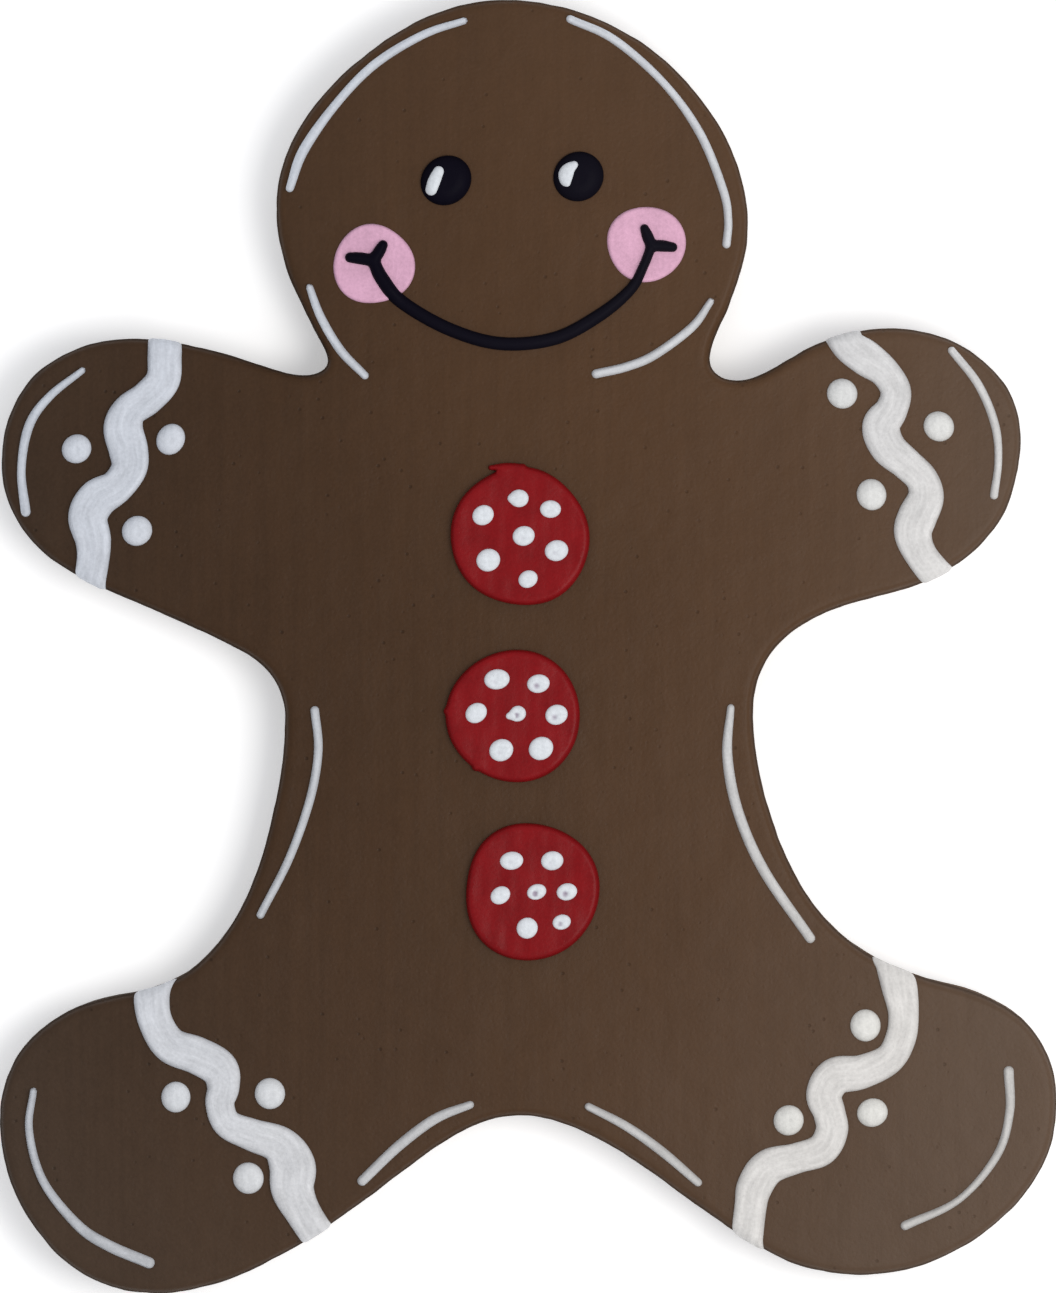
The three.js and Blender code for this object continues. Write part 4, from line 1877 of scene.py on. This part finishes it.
@dataclass
class Button:
    """A flooded round with seven spots on it.

    Attributes:
        name: which button it is.
        dough: what it lies on.
        round: its footprint.
        spots: each spot's x, y, longer and shorter radius and tilt, and how deep the tip dented it.
        nibs: the strokes at its edge where the tip was drawn away.
        tails: the same at some of the spots, by the spot's number.
        profile: how the button stands on the dough.
        spot_profile: how a spot stands on the button.
    """

    name: str
    dough: Dough
    round: Round
    spots: Sequence[tuple[float, ...]]
    nibs: Sequence[Stations] = ()
    tails: Mapping[int, Stations] = field(default_factory=dict)
    profile: Profile = Profile(
        height=1.2, rim=0.55, ridges=(Swell(0.14, (6, 6), 1.9), Swell(0.05, (5, 1.1), 8.8)), cell=0.3
    )
    spot_profile: Profile = Profile(
        height=0.5, rim=0.85, sink=0.12, pace=0.15, trace_cell=0.08, cell=0.14
    )

    def pipe(self, finish: Finish, material: Material) -> Layer:
        """Makes the button.

        Args:
            finish: what it looks like.
            material: the finish's material.

        Returns:
            Its layer, which the spots lie on.
        """
        button = Layer(Joined([self.round, *map(Stroke, self.nibs)]), self.dough, self.profile)
        button.pipe(f"button_{self.name}", finish, material)
        return button

    def pipe_spots(self, button: Layer, finish: Finish, material: Material) -> None:
        """Makes the spots.

        Args:
            button: the button's layer.
            finish: what they look like.
            material: the finish's material.
        """
        for number, (*shape, dent) in enumerate(self.spots, 1):
            footprint: Footprint = Round(*shape)
            if number in self.tails:
                footprint = Joined([footprint, Stroke(self.tails[number])])
            spot = Layer(footprint, button, replace(self.spot_profile, dimple=dent))
            spot.pipe(f"button_{self.name}_spot_{number}", finish, material)


@dataclass
class Buttons:
    """The three buttons down the front: what they lie on, and what they and their spots look like."""

    dough: Dough
    finish: Finish = RED
    spot_finish: Finish = SPOTTED

    def build(self) -> list[Button]:
        """Sets out the buttons.

        Returns:
            The buttons, from the top one down.
        """
        top = Button(
            "top",
            self.dough,
            Round(-0.9, 12.7, 8.1, 8, 0, ((2, 0.013, -106), (3, 0.011, -127), (5, 0.008, 47))),
            spots=(
                (-1, 17.15, 1.1, 1.05, 0, 0), (2.6, 15.9, 1.25, 1.05, 1, 0.12),
                (-5.2, 15.2, 1.31, 1.16, 32, 0.02), (-0.5, 12.8, 1.32, 1.17, 15, 0.12),
                (3.3, 11.1, 1.4, 1.24, 15, 0.12), (-4.6, 10, 1.43, 1.33, 26, 0.02),
                (0, 7.8, 1.18, 1.02, 28, 0.02),
            ),
            nibs=(((-4.4, 20.7, 0.3), (-2.6, 20.85, 0.45), (-0.6, 20.8, 0.4)),),
            tails={1: ((-1.4, 17.15, 0.8), (-1.9, 17.15, 0.5))},
        )
        middle = Button(
            "middle",
            self.dough,
            Round(-1.65, -8.05, 7.8, 7.7, 0, ((3, 0.016, 178),)),
            spots=(
                (-3.6, -3.8, 1.51, 1.2, 8, 0.12), (1.2, -4.3, 1.35, 1.1, 10, 0.24),
                (-6, -7.7, 1.34, 1.14, 36, 0.03), (-1.15, -7.75, 0.95, 0.93, 0, 0.28),
                (3.3, -7.9, 1.34, 1.19, 19, 0.2), (1.5, -11.8, 1.49, 1.34, 33, 0.03),
                (-3.1, -12, 1.45, 1.3, 26, 0.12),
            ),
            nibs=(((-8.8, -7.5, 0.8), (-9.45, -7.5, 0.35)), ((-5.7, -13.4, 0.6), (-6.1, -14.1, 0.35))),
            tails={4: ((-1.5, -7.95, 0.65), (-2.2, -8.05, 0.4))},
        )
        bottom = Button(
            "bottom",
            self.dough,
            Round(0.4, -28.4, 7.97, 7.88, 0, ((2, 0.022, 151), (3, 0.021, 9), (4, 0.011, 141))),
            spots=(
                (-1.9, -24.8, 1.39, 1.08, 8, 0.12), (2.8, -24.8, 1.33, 1.13, 9, 0.12),
                (1, -28.4, 1.17, 0.92, 19, 0.34), (4.5, -28.4, 1.23, 1.02, 13, 0.28),
                (-3.2, -28.8, 1.23, 1.02, 33, 0.03), (3.9, -31.9, 1.1, 0.9, 15, 0.24),
                (-0.1, -32.6, 1.28, 1.23, 44, 0.03),
            ),
        )
        return [top, middle, bottom]

    def pipe(self) -> None:
        """Makes the buttons and their spots."""
        material, spot_material = self.finish.material(), self.spot_finish.material()
        for button in self.build():
            layer = button.pipe(self.finish, material)
            button.pipe_spots(layer, self.spot_finish, spot_material)


@dataclass
class Face:
    """The eyes with their white strokes, the cheeks, and the mouth, which lies over the cheeks.

    Attributes:
        dough: what they lie on.
        eyes: the eyes' rounds.
        glints: the stations of the white stroke on each eye.
        cheeks: the cheeks' rounds.
        smile: the stations of the mouth's long stroke.
        ticks: those of the two short strokes at each of its ends.
        mouth_blend: how softly the strokes run together.
        cheek_profile: how a cheek stands on the dough.
        mouth_profile: how the mouth stands on the dough and the cheeks.
        eye_profile: how an eye stands on the dough.
        glint_profile: how a white stroke stands on its eye.
        cheek_finish: what the cheeks look like.
        dark_finish: what the mouth and the eyes look like.
        glint_finish: what the white strokes look like.
    """

    dough: Dough
    eyes: Mapping[str, Round] = field(
        default_factory=lambda: {
            "left": Round(-9.5, 54, 3.1, 2.83, 40),
            "right": Round(5.85, 54.45, 3.02, 2.88, 38),
        }
    )
    glints: Mapping[str, Stations] = field(
        default_factory=lambda: {
            "left": ((-11.2, 52.9, 0.7), (-10.85, 53.9, 0.75), (-10.35, 55, 0.63)),
            "right": (
                (5.35, 55.75, 0.45), (4.75, 55.3, 0.72), (4.4, 54.7, 0.88), (4.35, 54, 0.7),
                (4.5, 53.65, 0.45),
            ),
        }
    )
    cheeks: Mapping[str, Round] = field(
        default_factory=lambda: {
            "left": Round(-17.9, 44.25, 4.75, 4.6, 0, ((3, 0.032, -50), (5, 0.005, 112))),
            "right": Round(13.7, 46.65, 4.6, 4.4, 0, ((3, 0.021, 68), (4, 0.007, -120))),
        }
    )
    smile: Stations = (
        (-17.9, 44.7, 0.72), (-16.9, 42.6, 0.84), (-14.6, 39.9, 0.82), (-9.2, 36.8, 0.8),
        (-3.2, 35.1, 0.8), (3.1, 35.7, 0.8), (8.3, 38.4, 0.78), (11.9, 41.4, 0.66),
        (13.4, 44.1, 0.58), (14.3, 46.4, 0.6),
    )
    ticks: Sequence[Stations] = (
        ((-17.9, 44.7, 0.72), (-19.4, 44.95, 0.73), (-20.6, 45.05, 0.62)),
        ((-17.9, 44.7, 0.72), (-17.2, 45.8, 0.71), (-16.8, 46.5, 0.59)),
        ((14.3, 46.4, 0.62), (13.9, 47.4, 0.7), (13.5, 48.4, 0.54)),
        ((14.3, 46.4, 0.62), (15.5, 46.4, 0.7), (16.75, 46.25, 0.58)),
    )
    mouth_blend: float = 0.08
    cheek_profile: Profile = Profile(
        height=0.45, rim=0.4, ridges=(Swell(0.06, (1.6, 1.6), 5.1),), cell=0.25
    )
    mouth_profile: Profile = Profile(height=0.9, sink=0.25)
    eye_profile: Profile = Profile(height=1.3, rim=1.7, cell=0.2)
    glint_profile: Profile = Profile(height=0.3, sink=0.1, pace=0.12, trace_cell=0.06)
    cheek_finish: Finish = PINK
    dark_finish: Finish = BLACK
    glint_finish: Finish = SPOTTED

    def pipe(self) -> None:
        """Makes the face."""
        finishes = (self.cheek_finish, self.dark_finish, self.glint_finish)
        pink, dark, white = ((finish, finish.material()) for finish in finishes)
        bed: Bed = self.dough
        for side, footprint in self.cheeks.items():
            bed = Layer(footprint, bed, self.cheek_profile)
            bed.pipe(f"cheek_{side}", *pink)
        mouth = Joined([Stroke(stations) for stations in (self.smile, *self.ticks)], self.mouth_blend)
        Layer(mouth, Bridged(bed), self.mouth_profile).pipe("mouth", *dark)
        for side, footprint in self.eyes.items():
            eye = Layer(footprint, self.dough, self.eye_profile)
            eye.pipe(f"eye_{side}", *dark)
            Layer(Stroke(self.glints[side]), eye, self.glint_profile).pipe(f"eye_glint_{side}", *white)


# ---- The studio -----------------------------------------------------------------------------


@dataclass
class Studio:
    """The pale, faintly glowing floor, the soft light and the camera, which looks straight down.

    Attributes:
        floor_size: the floor's length and width.
        floor_colour: its colour.
        floor_clouds: how broad its faint clouds are.
        floor_mottle: how much they change its brightness and its roughness.
        floor_roughness: how rough it is.
        floor_glow: how strongly it glows.
        fill: the colour of the light from all round.
        zenith: how bright that is from straight above.
        horizon: how bright it is from the side.
        key_place: where the soft light from the right stands.
        key_size: how wide that is.
        key_power: how strong it is, in watts.
        key_colour: its colour.
        lens: the focal length of the camera's lens.
        sensor: how long its sensor is.
        frame_height: how much the camera shows from top to bottom.
        frame_level: the height above the table at which it shows just that.
        clip: the nearest and the farthest that it shows.
    """

    floor_size: float = 6000.0
    floor_colour: Colour = (0.95, 0.95, 0.95)
    floor_clouds: Clouds = Clouds(0.02)
    floor_mottle: Pair = (0.01, 0.02)
    floor_roughness: float = 0.9
    floor_glow: float = 0.3
    fill: Colour = (0.98, 1.0, 1.04)
    zenith: float = 0.68
    horizon: float = 0.58
    key_place: Triple = (160, -50, 330)
    key_size: float = 200.0
    key_power: float = 0.66
    key_colour: Colour = (1.0, 0.97, 0.93)
    lens: float = 300.0
    sensor: float = 36.0
    frame_height: float = 150.0
    frame_level: float = 6.4
    clip: Pair = (100, 10000)

    def set_up(self) -> None:
        """Makes the world, the floor, the light and the camera."""
        self._world()
        self._floor()
        self._key()
        self._camera()

    def _world(self) -> None:
        """The fill light, which changes from the horizon to the zenith."""
        world = bpy.data.worlds.new("fill")
        graph = Graph(world)
        direction = graph.node("ShaderNodeTexCoord").outputs["Generated"]
        brightness = graph.part(direction, "Z") * (self.zenith - self.horizon) + self.horizon
        sky = graph.node("ShaderNodeBackground", sockets={0: graph.tinted(self.fill, brightness)})
        graph.node("ShaderNodeOutputWorld", sockets={0: sky.outputs[0]})
        bpy.context.scene.world = world
        bpy.context.scene.view_settings.view_transform = "Standard"

    def _floor(self) -> None:
        """The floor."""
        half = self.floor_size * MM / 2
        mesh = bpy.data.meshes.new("floor")
        corners = [(-half, -half, 0), (half, -half, 0), (half, half, 0), (-half, half, 0)]
        mesh.from_pydata(corners, [], [(0, 1, 2, 3)])
        material = bpy.data.materials.new("pale_floor")
        graph = Graph(material)
        cloud = graph.cloud(graph.place(), self.floor_clouds)
        brighter, rougher = self.floor_mottle
        colour = graph.tinted(self.floor_colour, cloud * brighter + 1)
        glow = {"Emission Color": (1, 1, 1, 1), "Emission Strength": self.floor_glow}
        roughness = cloud * rougher + self.floor_roughness
        graph.finish(colour, roughness, None, {"Specular IOR Level": 0.0, **glow})
        mesh.materials.append(material)
        floor = bpy.data.objects.new("floor", mesh)
        bpy.context.scene.collection.objects.link(floor)

    def _key(self) -> None:
        """The soft light from the right."""
        light = bpy.data.lights.new("key", "AREA")
        light.size = self.key_size * MM
        light.energy = self.key_power
        light.color = self.key_colour
        lamp = bpy.data.objects.new("key", light)
        lamp.location = [along * MM for along in self.key_place]
        lamp.rotation_euler = (-Vector(self.key_place)).to_track_quat("-Z", "Y").to_euler()
        lamp.visible_camera = False
        bpy.context.scene.collection.objects.link(lamp)

    def _camera(self) -> None:
        """The camera, whose frame the biscuit fills from crown to sole."""
        camera = bpy.data.cameras.new("camera")
        camera.lens = self.lens
        camera.sensor_width = self.sensor
        camera.clip_start, camera.clip_end = (distance * MM for distance in self.clip)
        body = bpy.data.objects.new("camera", camera)
        height = self.frame_level + self.frame_height * self.lens / self.sensor
        body.location = (0, 0, height * MM)
        bpy.context.scene.collection.objects.link(body)
        bpy.context.scene.camera = body


def main() -> None:
    """Builds the gingerbread man and the studio."""
    logging.basicConfig(level=logging.INFO, format="%(name)s: %(message)s")
    dough = Dough()
    dough.bake()
    for decoration in (Bands(dough), Lines(dough), Dots(dough), Buttons(dough), Face(dough)):
        decoration.pipe()
    Studio().set_up()


if __name__ == "__main__":
    main()
